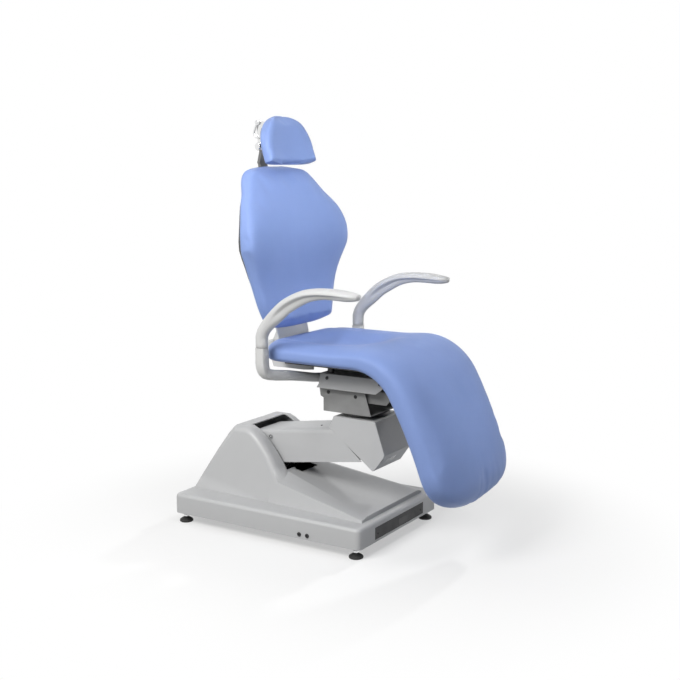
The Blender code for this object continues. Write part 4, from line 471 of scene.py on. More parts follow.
def pad(name, node, rings, held, cap, folds=None):
    """Upholstered pad: loft, cloth run, one subdivision, and folds worked in last."""
    item = add_piece(name, pad_mesh(rings), VINYL, body_of(node), PAD_SHARP, (node,))
    swell(item, held, cap)
    refine(item)
    if folds:
        mesh = item.data
        mesh.update()
        moves = [folds(vertex.co) * vertex.normal for vertex in mesh.vertices]
        for vertex, move in zip(mesh.vertices, moves):
            vertex.co += move
        mesh.update()


# Seat pad: rings, the reach of the close ones, room for the cloth and crown; ends as reach and power
SEAT_RINGS, SEAT_END_REACH, SEAT_SLACK, SEAT_CROWN = 76, 0.110, 0.0025, 0.008
SEAT_REAR_PLAN, SEAT_END_PLAN = (0.110, 2.6), (0.150, 2.3)
SEAT_REAR_EDGE, SEAT_END_EDGE, SEAT_FADE = (0.034, 2.0), (0.068, 2.0), (0.068, 2.2)
# Dished sitting place and the fuller knee, with spans as lengths from the rear
DISH_DEPTH, DISH_START, DISH_STOP = 0.040, (0.0, 0.10), (0.22, 0.44)
DISH_FLAT, DISH_HALF, DISH_NARROWER, DISH_NARROWING = 0.045, 0.172, 0.05, (0.28, 0.42)
DISH_HELD, DISH_HELD_FROM = 0.5, 0.004
KNEE_FULLER, KNEE_FULL_SPAN = 0.009, (0.30, 0.46)
# Wrinkles of the leg rest as middle, lean and strength, then the folds beside the sitting place
WRINKLES = ((-0.030, 0.10, 0.9), (0.018, -0.06, 1.0), (0.052, 0.16, 0.7), (0.110, -0.10, 0.8),
            (0.150, 0.05, 0.5))
WRINKLE_SPAN, WRINKLE_FOOT_Z, WRINKLE_REACH, WRINKLE_STEP = (0.20, 0.40), 0.22, 0.010, 0.013
WRINKLE_GROOVE, WRINKLE_RIDGE = 0.0011, 0.0008
FOLD_LEAST_Z, FOLD_LEAST_Y, FOLD_START, FOLD_STOP = 0.66, 0.05, (0.12, 0.22), (0.36, 0.43)
FOLD_X, FOLD_LEAN, FOLD_MIDDLE_Y, FOLD_REACH, FOLD_DEPTH = 0.168, 0.10, 0.26, 0.016, 0.0022


def seat_path(length):
    """Depth, height and normal of the seat pad's middle line at a length from its rear."""
    if length <= SEAT_FLAT:
        return SEAT_REAR - length, SEAT_MID_Z, Vector((0.0, 1.0))
    if length <= SEAT_FLAT + KNEE_LENGTH:
        turn = (length - SEAT_FLAT) / KNEE_RADIUS
        y = KNEE_START - KNEE_RADIUS * math.sin(turn)
        z = SEAT_MID_Z - KNEE_RADIUS * (1 - math.cos(turn))
        return y, z, Vector((-math.sin(turn), math.cos(turn)))
    start = math.pi / 2 - KNEE_TURN
    lean = start - (length - SEAT_FLAT - KNEE_LENGTH) / LEG_RADIUS
    y = KNEE_START - KNEE_RADIUS * math.sin(KNEE_TURN) - LEG_RADIUS * (math.cos(lean) - math.cos(start))
    z = SEAT_MID_Z - KNEE_RADIUS * (1 - math.cos(KNEE_TURN)) - LEG_RADIUS * (math.sin(start) - math.sin(lean))
    return y, z, Vector((-math.cos(lean), math.sin(lean)))


def seat_half_thick(length):
    """Half the seat pad's thickness, which grows over the knee."""
    share = min(max((length - SEAT_FLAT) / KNEE_LENGTH, 0.0), 1.0)
    return (PAD_THICK + (LEG_THICK - PAD_THICK) * share) / 2


def make_seat():
    """Seat and leg rest in one bent pad with a dished sitting place."""
    unit = pad_section(PAD_AROUND, *PAD_SQUARE)
    rings, held = [], []
    for length in spaced(SEAT_LENGTH, END_RINGS, SEAT_END_REACH, SEAT_RINGS):
        y, z, normal = seat_path(length)
        front = SEAT_LENGTH - length
        half = (SEAT_HALF - SEAT_SLACK) * end_round(length, *SEAT_REAR_PLAN)
        half *= end_round(front, *SEAT_END_PLAN)
        thick = seat_half_thick(length) * end_round(length, *SEAT_REAR_EDGE)
        thick *= end_round(front, *SEAT_END_EDGE)
        ends = end_round(length, *SEAT_FADE) * end_round(front, *SEAT_FADE)
        dish = DISH_DEPTH * ease(length, *DISH_START) * (1 - ease(length, *DISH_STOP)) * ends
        bowl = DISH_HALF - DISH_NARROWER * ease(length, *DISH_NARROWING)
        fuller = KNEE_FULLER * ease(length, *KNEE_FULL_SPAN) * ends
        ring = []
        for side, depth in unit:
            out = depth * thick
            if depth > 0:
                out += SEAT_CROWN * (1 - side * side) * ends + fuller - SEAT_SLACK
                out -= dish * (1 - ease(abs(half * side), DISH_FLAT, bowl))
            ring.append((half * side, y - SHIFT + normal.x * out, z + normal.y * out))
            sunk = DISH_HELD if depth > 0 and dish > DISH_HELD_FROM else 0.0
            held.append(1.0 if depth < UNDERSIDE else sunk)
        rings.append(ring)
    pad("seat_upholstery", "seat_cushion", rings, held, cap=0.006, folds=seat_folds)


def seat_folds(point):
    """Fine tension wrinkles at the end of the leg rest and a soft fold on each side of the seat."""
    y, z = point.y + SHIFT, point.z
    amount = 0.0
    low = 1 - ease(z, *WRINKLE_SPAN)
    if low > 0 and y < 0.0:
        for centre, lean, size in WRINKLES:
            line = centre + lean * (z - WRINKLE_FOOT_Z)
            amount -= WRINKLE_GROOVE * size * low * bump(point.x, line, WRINKLE_REACH)
            amount += WRINKLE_RIDGE * size * low * bump(point.x, line + WRINKLE_STEP, WRINKLE_REACH)
    if z > FOLD_LEAST_Z and y > FOLD_LEAST_Y:
        along = ease(y, *FOLD_START) * (1 - ease(y, *FOLD_STOP))
        for side in (-1, 1):
            line = side * (FOLD_X + FOLD_LEAN * (y - FOLD_MIDDLE_Y))
            amount -= FOLD_DEPTH * along * bump(point.x, line, FOLD_REACH)
    return amount


# Backrest pad: rings, the reach of the close ones and room for the cloth; ends as reach and power
BACK_RINGS, BACK_END_REACH, BACK_SLACK = 64, 0.050, 0.0020
BACK_PLAN, BACK_EDGE = (0.016, 2.4), (0.030, 2.0)
# Changes of its width and depth, with spans as heights over its foot; the waist and chest as humps
BACK_THINNER, BACK_THIN_FROM, BOW_SHARE = 0.016, 0.60, 0.25
WAIST_SHAVED, WAIST = 0.005, (0.300, 0.026)
FOOT_SPLAY, FOOT_SPLAY_SPAN, TOP_SPLAY, TOP_SPLAY_SPAN = 0.010, (0.06, 0.24), 0.006, (0.40, 0.52)
FOOT_WIDER, FOOT_WIDE_SPAN, TOP_WIDER, TOP_WIDE_SPAN = 0.005, (0.06, 0.22), 0.012, (0.46, 0.54)
CUP_DEPTH, CUP_NEAR, CUP_FAR = 0.011, 0.02, 0.16
CHEST_FULLER, CHEST, TOP_FULLER, TOP_FULL_SPAN = 0.010, (0.270, 0.070), 0.008, (0.42, 0.52)
BACK_STEPS = 12
BACK_CURVE = curve_through(BACK_SIDES, BACK_STEPS)


def back_place(x, y, z):
    """Point of the leaning backrest's own frame in the shared frame."""
    depth = BACK_PIVOT[0] + y * math.cos(BACK_LEAN) + z * math.sin(BACK_LEAN)
    return (x, depth - SHIFT, BACK_PIVOT[1] - y * math.sin(BACK_LEAN) + z * math.cos(BACK_LEAN))


def back_half(up):
    """Half-width of the backrest at a height over its foot."""
    return float(np.interp(up, [p.x for p in BACK_CURVE], [p.y for p in BACK_CURVE]))


def make_back():
    """Backrest pad, bowed towards the sitter, with rounded side walls."""
    unit = pad_section(PAD_AROUND, *PAD_SQUARE)
    rings, held = [], []
    for up in spaced(BACK_HEIGHT, END_RINGS, BACK_END_REACH, BACK_RINGS):
        near = min(up, BACK_HEIGHT - up)
        plan, shrink = end_round(near, *BACK_PLAN), end_round(near, *BACK_EDGE)
        bow = BACK_BULGE * math.sin(math.pi * (up / BACK_HEIGHT) ** BACK_SKEW) ** 2
        thin = BACK_THINNER * max(up / BACK_HEIGHT - BACK_THIN_FROM, 0.0) / (1 - BACK_THIN_FROM)
        half = (back_half(up) - BACK_SLACK - WAIST_SHAVED * bump(up, *WAIST)) * plan
        half += (FOOT_WIDER * (1 - ease(up, *FOOT_WIDE_SPAN)) + TOP_WIDER * ease(up, *TOP_WIDE_SPAN)) * plan
        splay = FOOT_SPLAY * (1 - ease(up, *FOOT_SPLAY_SPAN)) + TOP_SPLAY * ease(up, *TOP_SPLAY_SPAN)
        deep = (BACK_THICK - thin + BOW_SHARE * bow) / 2
        cup = ease(up, CUP_NEAR, CUP_FAR) * (1 - ease(up, BACK_HEIGHT - CUP_FAR, BACK_HEIGHT - CUP_NEAR))
        fuller = CHEST_FULLER * bump(up, *CHEST) + TOP_FULLER * ease(up, *TOP_FULL_SPAN)
        middle = BACK_PLANE - bow - deep
        ring = []
        for side, depth in unit:
            out = depth * deep * shrink
            if depth > 0:
                out -= CUP_DEPTH * cup * (1 - side * side) + BACK_SLACK
                out += fuller * shrink
            wide = half - splay * depth * shrink
            ring.append(back_place(wide * side, middle - out, BACK_BOTTOM + up))
            held.append(1.0 if depth < UNDERSIDE else 0.0)
        rings.append(ring)
    pad("back_upholstery", "backrest_cushion", rings, held, cap=0.005)


# Headrest pad: rings, the reach of the close ones and room for the cloth; ends as reach and power
HEAD_RINGS, HEAD_END_REACH, HEAD_SLACK = 28, 0.045, 0.0015
HEAD_WIDER, HEAD_FULLER, HEAD_STRAIGHT = 0.002, 0.008, 0.30 * HEAD_HEIGHT
HEAD_FOOT_PLAN, HEAD_REAR_EDGE = (0.008, 2.4), (0.010, 2.0)
HEAD_FOOT_EDGE, HEAD_TOP_EDGE = (0.014, 2.0), (0.045, 2.0)
# Hollow between its wings, and the narrower rear
HOLLOW_DEPTH, HOLLOW_LOSS, HOLLOW_SPAN = 0.026, 0.70, (0.03, HEAD_HEIGHT - 0.02)
HOLLOW_TOP, HOLLOW_POWER, HOLLOW_FRONT = (0.040, 2.0), 2.4, (0.0, 0.5)
REAR_NARROWER, REAR_SPAN = 0.10, (0.2, 1.0)


def head_place(x, y, z):
    """Point of the headrest's own frame in the shared frame."""
    return back_place(x, HEAD_PIVOT[0] + y * math.cos(HEAD_LEAN) + z * math.sin(HEAD_LEAN),
                      HEAD_PIVOT[1] - y * math.sin(HEAD_LEAN) + z * math.cos(HEAD_LEAN))


def make_head():
    """Headrest pad, hollowed between two wings, half-round at the top."""
    unit = pad_section(HEAD_AROUND, *HEAD_SQUARE)
    rings, held = [], []
    middle = HEAD_BACK - HEAD_THICK / 2
    for up in spaced(HEAD_HEIGHT, END_RINGS, HEAD_END_REACH, HEAD_RINGS):
        left = HEAD_HEIGHT - up
        share = max((up - HEAD_STRAIGHT) / (HEAD_HEIGHT - HEAD_STRAIGHT), 0.0)
        curve = math.sqrt(max(1 - share * share, 0.0))
        half = (HEAD_HALF + HEAD_WIDER - HEAD_SLACK) * curve * end_round(up, *HEAD_FOOT_PLAN)
        rear = HEAD_THICK / 2 * end_round(min(up, left), *HEAD_REAR_EDGE)
        front = (HEAD_THICK / 2 + HEAD_FULLER) * end_round(up, *HEAD_FOOT_EDGE)
        front *= end_round(left, *HEAD_TOP_EDGE)
        hollow = HOLLOW_DEPTH * (1 - HOLLOW_LOSS * ease(up, *HOLLOW_SPAN)) * end_round(left, *HOLLOW_TOP)
        ring = []
        for side, depth in unit:
            out = depth * (front if depth > 0 else rear)
            if depth > 0:
                out -= hollow * (1 - abs(side) ** HOLLOW_POWER) * ease(depth, *HOLLOW_FRONT) + HEAD_SLACK
            wide = half * (1 - REAR_NARROWER * ease(-depth, *REAR_SPAN))
            ring.append(head_place(wide * side, middle - out, HEAD_FOOT + up))
            held.append(1.0 if depth < UNDERSIDE else 0.0)
        rings.append(ring)
    pad("head_upholstery", "headrest_cushion", rings, held, cap=0.004)


# Armrest section: points round it, squareness over and under the pad, and where the notch is full
ARM_AROUND, TOP_SQUARE, WEB_SQUARE, NOTCH_FULL = 72, 0.18, 0.30, 0.24
# Armrest sizes, with spans as lengths along it from the seam on its post
ARM_FOOT, ARM_STEPS = (0.0, 0.0006, 0.0018, 0.012, 0.024), 10
ARM_WIDTH, ARM_WIDER, ARM_PAD_SPAN = 0.042, 0.012, (0.07, 0.24)
ARM_TOP, ARM_FLATTER, WEB_SPAN = 0.021, 0.003, (0.08, 0.20)
ARM_LOW, BEND_DEEPER, BEND_SPAN, PAD_THINNER, THIN_SPAN = 0.021, 0.010, (0.05, 0.15), 0.013, (0.20, 0.36)
NOTCH, NOTCH_START, NOTCH_LOSS, NOTCH_STOP = 0.40, (0.10, 0.18), 0.85, (0.34, 0.47)
SEAM_SHARE, SEAM_REACH = 0.90, 0.0022
# Taper to the tip as reach, power and least share, for the plan, the underside and the top
TIP_PLAN, TIP_UNDER, TIP_TOP = (0.034, 2.2, 0.03), (0.065, 1.9, 0.35), (0.095, 1.5, 0.40)


def arm_section(width, top, low, notch, web):
    """Bar section as side and height pairs: a pad that overhangs a narrower web below it."""
    ring = []
    for i in range(ARM_AROUND):
        angle = 2 * math.pi * (i + 0.5) / ARM_AROUND
        c, s = math.cos(angle), math.sin(angle)
        if s > 0:
            side = math.copysign(abs(c) ** (1 - TOP_SQUARE * web), c)
            ring.append((width / 2 * side, top * s))
        else:
            down = math.asin(min(-s, 1.0)) / (math.pi / 2)
            under = 1 - notch * ease(down, 0.0, NOTCH_FULL)
            flat = under * abs(c) ** (1 - WEB_SQUARE * web)
            ring.append((width / 2 * math.copysign(flat, c), low * s))
    return ring


def sweep(path, sizes, across):
    """Skin of a bar along a path; across gives the direction of its width."""
    shape = bmesh.new()
    loops = []
    for i, point in enumerate(path):
        ahead = path[min(i + 1, len(path) - 1)] - path[max(i - 1, 0)]
        side = (across - ahead * across.dot(ahead) / ahead.length_squared).normalized()
        up = ahead.normalized().cross(side)
        ring = arm_section(*sizes[i])
        loops.append([shape.verts.new(point + side * a + up * b) for a, b in ring])
    skin(shape, loops)
    return shape


def taper(left, reach, power, least):
    """Share of full size near the tip, down to a least share."""
    return end_round(left, reach, power) * (1 - least) + least


def arm_sizes(run, total):
    """Width, top, depth below, notch and web of an arm at a run from its seam."""
    left = total - run
    padded = ease(run, *ARM_PAD_SPAN)
    tip = taper(left, *TIP_PLAN)
    lip = SEAM_SHARE + (1 - SEAM_SHARE) * min(run / SEAM_REACH, 1.0)
    width = (ARM_WIDTH + ARM_WIDER * padded) * tip * lip
    top = (ARM_TOP - ARM_FLATTER * padded) * min(tip, taper(left, *TIP_TOP)) * lip
    deep = ARM_LOW + BEND_DEEPER * ease(run, *BEND_SPAN) - PAD_THINNER * ease(run, *THIN_SPAN)
    low = deep * min(tip, taper(left, *TIP_UNDER)) * lip
    notch = NOTCH * ease(run, *NOTCH_START) * (1 - NOTCH_LOSS * ease(run, *NOTCH_STOP))
    return width, top, low, notch, ease(run, *WEB_SPAN)


def make_arms():
    """Moulded foam arms: round post, long bend and an overhanging pad that thins to the tip."""
    y = POST_Y - SHIFT
    for side, name in ((-1, "right"), (1, "left")):
        route = [(side * POST_X, y + dy, POST_SEAM + dz) for dy, dz in ARM_ROUTE]
        path = [Vector((side * POST_X, y, POST_SEAM + dz)) for dz in ARM_FOOT]
        path += curve_through(route, ARM_STEPS)
        gone = [0.0]
        for a, b in zip(path, path[1:]):
            gone.append(gone[-1] + (b - a).length)
        sizes = [arm_sizes(run, gone[-1]) for run in gone]
        shape = sweep(path, sizes, Vector((1.0, 0.0, 0.0)))
        add_piece(f"arm_grip_{name}", shape, ARM_FOAM, f"armrest_{name}", ARM_SHARP,
                  (f"armrest_{name}",))


# Screw heads as shares of their radius: dome, rim, sunk edge and cross recess
SCREW_RINGS, SCREW_AROUND = 9, 40
SCREW_DOME, SCREW_POWER, SCREW_RIM, SCREW_SUNK = 0.42, 2.6, 0.12, 0.25
RECESS_HALF, RECESS_REACH, RECESS_DEPTH = 0.13, 0.66, 0.34
# Bare plates: thickness, corner radius, steps round a corner, and the rim as inset and height
PLATE_THICK, PLATE_CORNER, CORNER_STEPS = 0.0008, 0.003, 6
PLATE_RIM = ((0.0, -0.0006), (0.0, 0.5 * PLATE_THICK), (0.0003, PLATE_THICK), (0.0012, PLATE_THICK))
# Round covers as shares of radius and height: rim, recess and hub, then the spokes and the dark part
PLUG_AROUND = 56
PLUG_PROFILE = ((1.0, 0.0), (1.0, 0.75), (0.955, 1.0), (0.84, 1.0), (0.79, 0.82), (0.77, 0.25),
                (0.60, 0.22), (0.42, 0.22), (0.40, 0.28),
                (0.385, 0.86), (0.34, 0.95), (0.16, 0.95), (0.10, 0.50))
SPOKE_FROM, SPOKE_TO, SPOKE_HALF, SPOKE_HEIGHT = 0.395, 0.775, 0.30, 0.45
WELL_FROM, WELL_TO, WELL_TOP = 0.41, 0.78, 0.5
# Feet as shares of their radius and heights in metres
FOOT_AROUND, NUT_AROUND, STUD_AROUND = 48, 6, 28
FOOT_RUBBER = ((0.90, 0.0), (0.985, 0.0015), (1.0, 0.0045), (0.97, 0.0075), (0.90, 0.0090), (0.86, 0.0095),
               (0.70, 0.0125), (0.48, 0.0155), (0.36, 0.0165), (0.34, 0.0200))
FOOT_NUT = ((0.40, 0.0), (0.44, 0.0008), (0.44, 0.0062), (0.40, 0.0070))
NUT_FOOT_Z, STUD_FOOT_Z = 0.0195, 0.0265
THREAD_END, THREAD_LOW, THREAD_HIGH = 0.20, 0.205, 0.235
THREAD_STEP, THREAD_START, THREAD_ROOM = 0.0015, 0.0005, 0.0275


def turned(shape, centre, axis, profile, around, lift=None, look=0):
    """Closed turned form along an axis; lift raises or sinks places by angle and radius."""
    out = Vector(axis).normalized()
    side = out.orthogonal().normalized()
    up = out.cross(side)
    loops = []
    for radius, height in profile:
        loop = []
        for j in range(around):
            angle = 2 * math.pi * j / around
            raised = height + (lift(angle, radius) if lift else 0.0)
            spot = Vector(centre) + side * radius * math.cos(angle) + up * radius * math.sin(angle)
            loop.append(shape.verts.new(spot + out * raised))
        loops.append(loop)
    for face in skin(shape, loops):
        face.material_index = look


def screw(shape, centre, normal, radius):
    """Pan-head screw with a cross recess, added to a bmesh."""
    profile = []
    for i in range(1, SCREW_RINGS):
        share = i / (SCREW_RINGS - 1)
        dome = SCREW_DOME * math.sqrt(max(1 - share ** SCREW_POWER, 0.0))
        profile.append((radius * share, radius * (dome + SCREW_RIM)))
    profile.append((radius, -SCREW_SUNK * radius))

    def recess(angle, place):
        aside = place * min(abs(math.cos(angle)), abs(math.sin(angle)))
        inside = aside < RECESS_HALF * radius and place < RECESS_REACH * radius
        return -RECESS_DEPTH * radius if inside else 0.0

    turned(shape, centre, normal, profile, SCREW_AROUND, recess)


def screws(name, carrier, look, places):
    """One piece of several screws, each given as centre, normal and radius."""
    shape = bmesh.new()
    for centre, normal, radius in places:
        screw(shape, centre, normal, radius)
    add_piece(name, shape, look, carrier, SMALL_SHARP)


def blank_plate(name, carrier, look, centre, side, up, size):
    """Bare plate with rounded corners and a soft rim, lying on a surface."""
    side, up = Vector(side).normalized(), Vector(up).normalized()
    out = side.cross(up)
    shape = bmesh.new()
    loops = []
    for inset, height in PLATE_RIM:
        reach = PLATE_CORNER - inset
        loop = []
        for quarter in range(4):
            diagonal = math.pi / 4 + math.pi / 2 * quarter
            x = math.copysign(size[0] / 2 - PLATE_CORNER, math.cos(diagonal))
            y = math.copysign(size[1] / 2 - PLATE_CORNER, math.sin(diagonal))
            for step in range(CORNER_STEPS + 1):
                angle = math.pi / 2 * (quarter + step / CORNER_STEPS)
                a, b = x + reach * math.cos(angle), y + reach * math.sin(angle)
                loop.append(shape.verts.new(Vector(centre) + side * a + up * b + out * height))
        loops.append(loop)
    skin(shape, loops)
    add_piece(name, shape, look, carrier, SMALL_SHARP)


def make_plugs():
    """Round covers on the lift arm: rim, dark recess, hub and four spokes."""
    for node in ("arm_cover_plug_left", "arm_cover_plug_right"):
        low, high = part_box(node)
        sign = 1.0 if low[0] > 0 else -1.0
        centre = (low[0] if sign > 0 else high[0], (low[1] + high[1]) / 2, (low[2] + high[2]) / 2)
        radius = (high[1] - low[1]) / 2
        tall = high[0] - low[0]

        def spoke(angle, place):
            across = abs(math.sin(2 * angle)) < SPOKE_HALF
            along = SPOKE_FROM * radius < place < SPOKE_TO * radius
            return SPOKE_HEIGHT * tall if across and along else 0.0

        shape = bmesh.new()
        profile = [(share * radius, height * tall) for share, height in PLUG_PROFILE]
        turned(shape, centre, (sign, 0.0, 0.0), profile, PLUG_AROUND, spoke)
        for face in shape.faces:
            reach = face.calc_center_median() - Vector(centre)
            flat = math.hypot(reach.y, reach.z)
            if WELL_FROM * radius < flat < WELL_TO * radius and abs(reach.x) < WELL_TOP * tall:
                face.material_index = 1
        add_piece(f"{node}_cap", shape, (PLUG, BLACK), body_of(node), SMALL_SHARP, (node,))


def make_feet():
    """Levelling feet: rubber pad with a lip, bright nut and threaded stud."""
    upright = (0, 0, 1)
    for end in ("front", "rear"):
        for hand in ("left", "right"):
            node = f"levelling_foot_{end}_{hand}"
            low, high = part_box(node)
            x, y, z = (low[0] + high[0]) / 2, (low[1] + high[1]) / 2, low[2]
            reach = (high[0] - low[0]) / 2
            top = high[2] - low[2]
            thread = [(THREAD_END, 0.0)]
            for i in range(int((top - THREAD_ROOM) / THREAD_STEP)):
                thread.append((THREAD_HIGH if i % 2 else THREAD_LOW, THREAD_START + THREAD_STEP * i))
            thread.append((THREAD_END, top - STUD_FOOT_Z))
            shape = bmesh.new()
            for foot, profile, around, look in ((0.0, FOOT_RUBBER, FOOT_AROUND, 0),
                                                (NUT_FOOT_Z, FOOT_NUT, NUT_AROUND, 1),
                                                (STUD_FOOT_Z, thread, STUD_AROUND, 1)):
                sized = [(share * reach, height) for share, height in profile]
                turned(shape, (x, y, z + foot), upright, sized, around, look=look)
            add_piece(f"{node}_turned", shape, (RUBBER, CHROME), body_of(node), DRESS_SHARP,
                      (node,))


# Small fixings in the shared frame; seat screws as place and the x and z of their normal, on one side
PANEL_MIDDLE_Z, PANEL_SCREW_X, PANEL_SCREW_RADIUS = 0.0625, 0.150, 0.0042
ARM_SCREW_X, ARM_SCREW_Y, ARM_SCREW_Z, ARM_SCREW_RADIUS = 0.0344, 0.0641, 0.371, 0.0040
ARM_TOP_NORMAL = (0.0, 0.146, 0.989)
PANEL_BLANK_X, PANEL_BLANK_SIZE = 0.025, (0.074, 0.026)
HEAD_BLANK_PLACE, HEAD_BLANK_SIZE = (-0.018, -0.2047, 0.2842), (0.056, 0.024)
HEAD_BLANK_UP = (0.0, -0.587, 0.809)
SEAT_SCREWS = ((0.1, -0.0061, 0.5109, 1.0, 0.0), (0.1, -0.1146, 0.5057, 1.0, 0.0),
               (0.1153, -0.0104, 0.5628, 0.976, 0.217), (0.1153, -0.2180, 0.5628, 0.976, 0.217))
SEAT_SCREW_RADIUS = 0.0062
ACROSS, UPWARD, FORWARD = (1.0, 0.0, 0.0), (0.0, 0.0, 1.0), (0.0, -1.0, 0.0)
# Pressed and machined parts that keep their CAD shape, with their look and the round of their edges; the seat
# bracket and inner channel take the mid-grey enamel that carries painted shade
DRESSED = (("seat_bracket", MID, 0.0016), ("seat_inner_channel", MID, 0.0016),
           ("seat_channel", GREY, 0.0016), ("swivel_plate", COATED, 0.0010),
           ("swivel_ring", COATED, 0.0010), ("backrest_frame", ENAMEL, 0.0012),
           ("back_hinge_plate_left", ENAMEL, 0.0010), ("back_hinge_plate_right", ENAMEL, 0.0010),
           ("armrest_bracket_left", ENAMEL, 0.0008), ("armrest_bracket_right", ENAMEL, 0.0008),
           ("seat_shell", BLACK, 0.0015), ("backrest_board", BOARD, 0.0025),
           ("headrest_board", BOARD, 0.0020), ("headrest_sleeve", BLACK, 0.0010),
           ("headrest_post", DARK_STEEL, 0.0008), ("headrest_carrier", CHROME, 0.0008),
           ("headrest_clamp_knob", CHROME, 0.0012), ("headrest_lever", CHROME, 0.0004),
           ("lift_arm_frame", COATED, 0.0010))


def make_base():
    """Moulded covers with rounded edges, front panel, sockets, plugs, feet and small fixings."""
    dress("base_moulding", "base_cover", MOULDING, bevel=0.0025, angle=55.0)
    dress("arm_moulding", "lift_arm_cover", MOULDING, bevel=0.0045)
    dress("head_moulding", "head_cover", MOULDING, bevel=0.0050)
    dress("front_plate", "front_panel", PANEL, bevel=0.0006, segments=2)
    for node in ("pedal_socket_1", "pedal_socket_2"):
        dress(f"{node}_bush", node, BLACK, bevel=0.0008, segments=2)
    make_plugs()
    make_feet()
    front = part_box("front_panel")[0][1]
    screws("panel_screws", "base", BLACK,
           [((x, front, PANEL_MIDDLE_Z), FORWARD, PANEL_SCREW_RADIUS)
            for x in (-PANEL_SCREW_X, PANEL_SCREW_X)])
    screws("arm_screws", "lift_arm", BLACK,
           [((x, ARM_SCREW_Y, ARM_SCREW_Z), ARM_TOP_NORMAL, ARM_SCREW_RADIUS)
            for x in (-ARM_SCREW_X, ARM_SCREW_X)])
    blank_plate("panel_blank", "base", DARK_BLANK, (PANEL_BLANK_X, front, PANEL_MIDDLE_Z),
                ACROSS, UPWARD, PANEL_BLANK_SIZE)
    blank_plate("head_blank", "head", BLANK, HEAD_BLANK_PLACE,
                ACROSS, HEAD_BLANK_UP, HEAD_BLANK_SIZE)


def make_frame_parts():
    """Brackets, channels, boards and headrest fittings with softened edges, and the seat's screws."""
    for node, look, bevel in DRESSED:
        dress(f"{node}_dressed", node, look, bevel, segments=2, angle=34.0)
    places = []
    for sign in (-1.0, 1.0):
        for x, y, z, across, up in SEAT_SCREWS:
            places.append(((sign * x, y, z), (sign * across, 0.0, up), SEAT_SCREW_RADIUS))
    screws("seat_screws", "seat", COATED, places)


# World and floor: light on the chair, and the distances over which the floor fades to white
WHITE = (1.0, 1.0, 1.0, 1.0)
WORLD_TINT, WORLD_STRENGTH = (0.96, 0.98, 1.0, 1.0), 0.12
FLOOR_FADE = {"From Min": 0.45, "From Max": 1.30, "To Min": 0.45}
FLOOR_BOUNCE, FLOOR_SEEN = (0.42, 0.42, 0.42, 1.0), (0.95, 0.95, 0.95, 1.0)
FLOOR_REACH = 15.0
# Lamps: name, place, target, size, power, colour, spread in degrees, and whether gloss shows them
LAMPS = (("key", (-2.3, 0.6, 2.5), (0.0, 0.0, 0.6), 1.3, 56.0, (1.0, 0.99, 0.97), 180, True),
         ("left", (-2.8, -0.2, 2.15), (0.0, 0.1, 0.7), 0.9, 30.0, (1.0, 1.0, 0.99), 180, True),
         ("right", (3.0, -0.35, 2.25), (0.0, 0.0, 0.75), 0.22, 36.0, (1.0, 1.0, 0.99), 180, False),
         ("overhead", (-0.5, -1.4, 2.7), (0.0, 0.1, 1.0), 1.0, 12.0, (0.98, 0.99, 1.0), 180, True),
         ("rear", (0.6, 3.0, 2.2), (0.0, 0.2, 0.8), 1.4, 14.0, (1.0, 1.0, 1.0), 180, False),
         ("face", (-0.9, -2.7, 1.7), (0.0, 0.2, 1.17), 0.7, 1.30, (0.98, 0.99, 1.0), 24, True),
         ("low_front", (-0.5, -3.0, 1.0), (0.05, -0.45, 0.45), 0.5, 0.36, (0.98, 0.99, 1.0), 18, True))
# Camera at the photograph's place and angle, with the picture's measures in pixels
PHOTO_SIDE, PHOTO_FOCAL, PHOTO_SHIFT, SENSOR = 680.0, 1111.0, -2.5, 36.0
CAMERA_PLACE, CAMERA_PITCH = (-3.2409, -2.0262, 1.293), math.radians(9.15)
CAMERA_HEADING = (0.848, 0.530)


def aim(item, place, ahead):
    """Put a lamp or camera at a place, looking along a direction."""
    item.location = place
    item.rotation_euler = ahead.to_track_quat("-Z", "Y").to_euler()
    scene.collection.objects.link(item)


def make_world():
    """World that is white to the camera and gives plain soft light to the chair."""
    world = bpy.data.worlds.new("studio")
    scene.world = world
    nodes = Nodes(world)
    out = nodes.add("ShaderNodeOutputWorld")
    seen = nodes.rays("Is Camera Ray", "Is Glossy Ray", "Is Transmission Ray")
    dim = nodes.add("ShaderNodeBackground", {"Color": WORLD_TINT, "Strength": WORLD_STRENGTH})
    white = nodes.add("ShaderNodeBackground", {"Color": WHITE})
    nodes.blend(seen, dim, white, out)


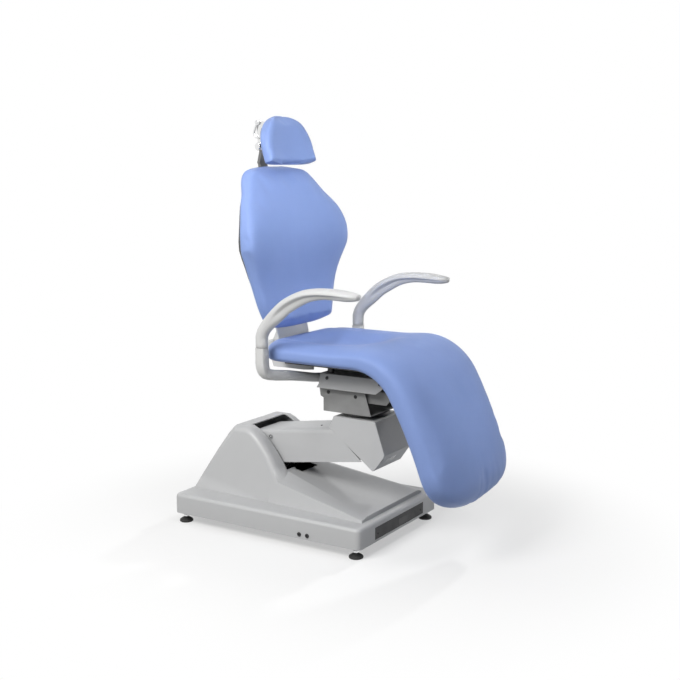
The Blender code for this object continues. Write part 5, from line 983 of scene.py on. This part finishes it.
def make_floor():
    """Pale floor that takes the chair's shadow and fades to white away from it."""
    ground = bpy.data.materials.new("pale_floor")
    nodes = Nodes(ground)
    out = nodes.add("ShaderNodeOutputMaterial")
    place = nodes.add("ShaderNodeNewGeometry")
    reach = nodes.add("ShaderNodeVectorMath", operation="LENGTH")
    nodes.link(place.outputs["Position"], reach.inputs[0])
    far = nodes.add("ShaderNodeMapRange", FLOOR_FADE, interpolation_type="SMOOTHSTEP")
    nodes.link(reach.outputs["Value"], far.inputs["Value"])
    seen = nodes.rays("Is Camera Ray", "Is Glossy Ray")
    both = nodes.add("ShaderNodeMath", operation="MULTIPLY")
    nodes.link(seen, both.inputs[0])
    nodes.link(far.outputs[0], both.inputs[1])
    bounce = nodes.add("ShaderNodeMix", {COLOUR_A: FLOOR_BOUNCE, COLOUR_B: FLOOR_SEEN}, data_type="RGBA")
    nodes.link(seen, bounce.inputs[MIX_FACTOR])
    matt = nodes.add("ShaderNodeBsdfDiffuse")
    nodes.link(bounce.outputs[COLOUR_OUT], matt.inputs["Color"])
    glow = nodes.add("ShaderNodeEmission")
    nodes.blend(both.outputs[0], matt, glow, out)
    shape = bmesh.new()
    bmesh.ops.create_grid(shape, x_segments=1, y_segments=1, size=FLOOR_REACH)
    mesh = bpy.data.meshes.new("floor")
    shape.to_mesh(mesh)
    shape.free()
    mesh.materials.append(ground)
    floor = bpy.data.objects.new("floor", mesh)
    scene.collection.objects.link(floor)


def lamp(name, place, target, size, power, colour, spread, shine):
    """Soft round lamp aimed at a point."""
    data = bpy.data.lights.new(name, "AREA")
    data.shape = "DISK"
    data.size = size
    data.energy = power
    data.spread = math.radians(spread)
    data.color = colour
    item = bpy.data.objects.new(name, data)
    item.visible_glossy = shine
    aim(item, place, Vector(target) - Vector(place))


def make_camera():
    """Camera at the photograph's place and angle."""
    data = bpy.data.cameras.new("camera")
    data.sensor_width = SENSOR
    data.lens = SENSOR * PHOTO_FOCAL / PHOTO_SIDE
    data.shift_x = PHOTO_SHIFT / PHOTO_SIDE
    item = bpy.data.objects.new("camera", data)
    level = math.cos(CAMERA_PITCH)
    aim(item, CAMERA_PLACE,
        Vector((CAMERA_HEADING[0] * level, CAMERA_HEADING[1] * level, -math.sin(CAMERA_PITCH))))
    scene.camera = item


scene.view_settings.view_transform = "Standard"
make_camera()
make_world()
make_floor()
for lamp_settings in LAMPS:
    lamp(*lamp_settings)
make_seat()
make_back()
make_head()
make_arms()
make_base()
make_frame_parts()
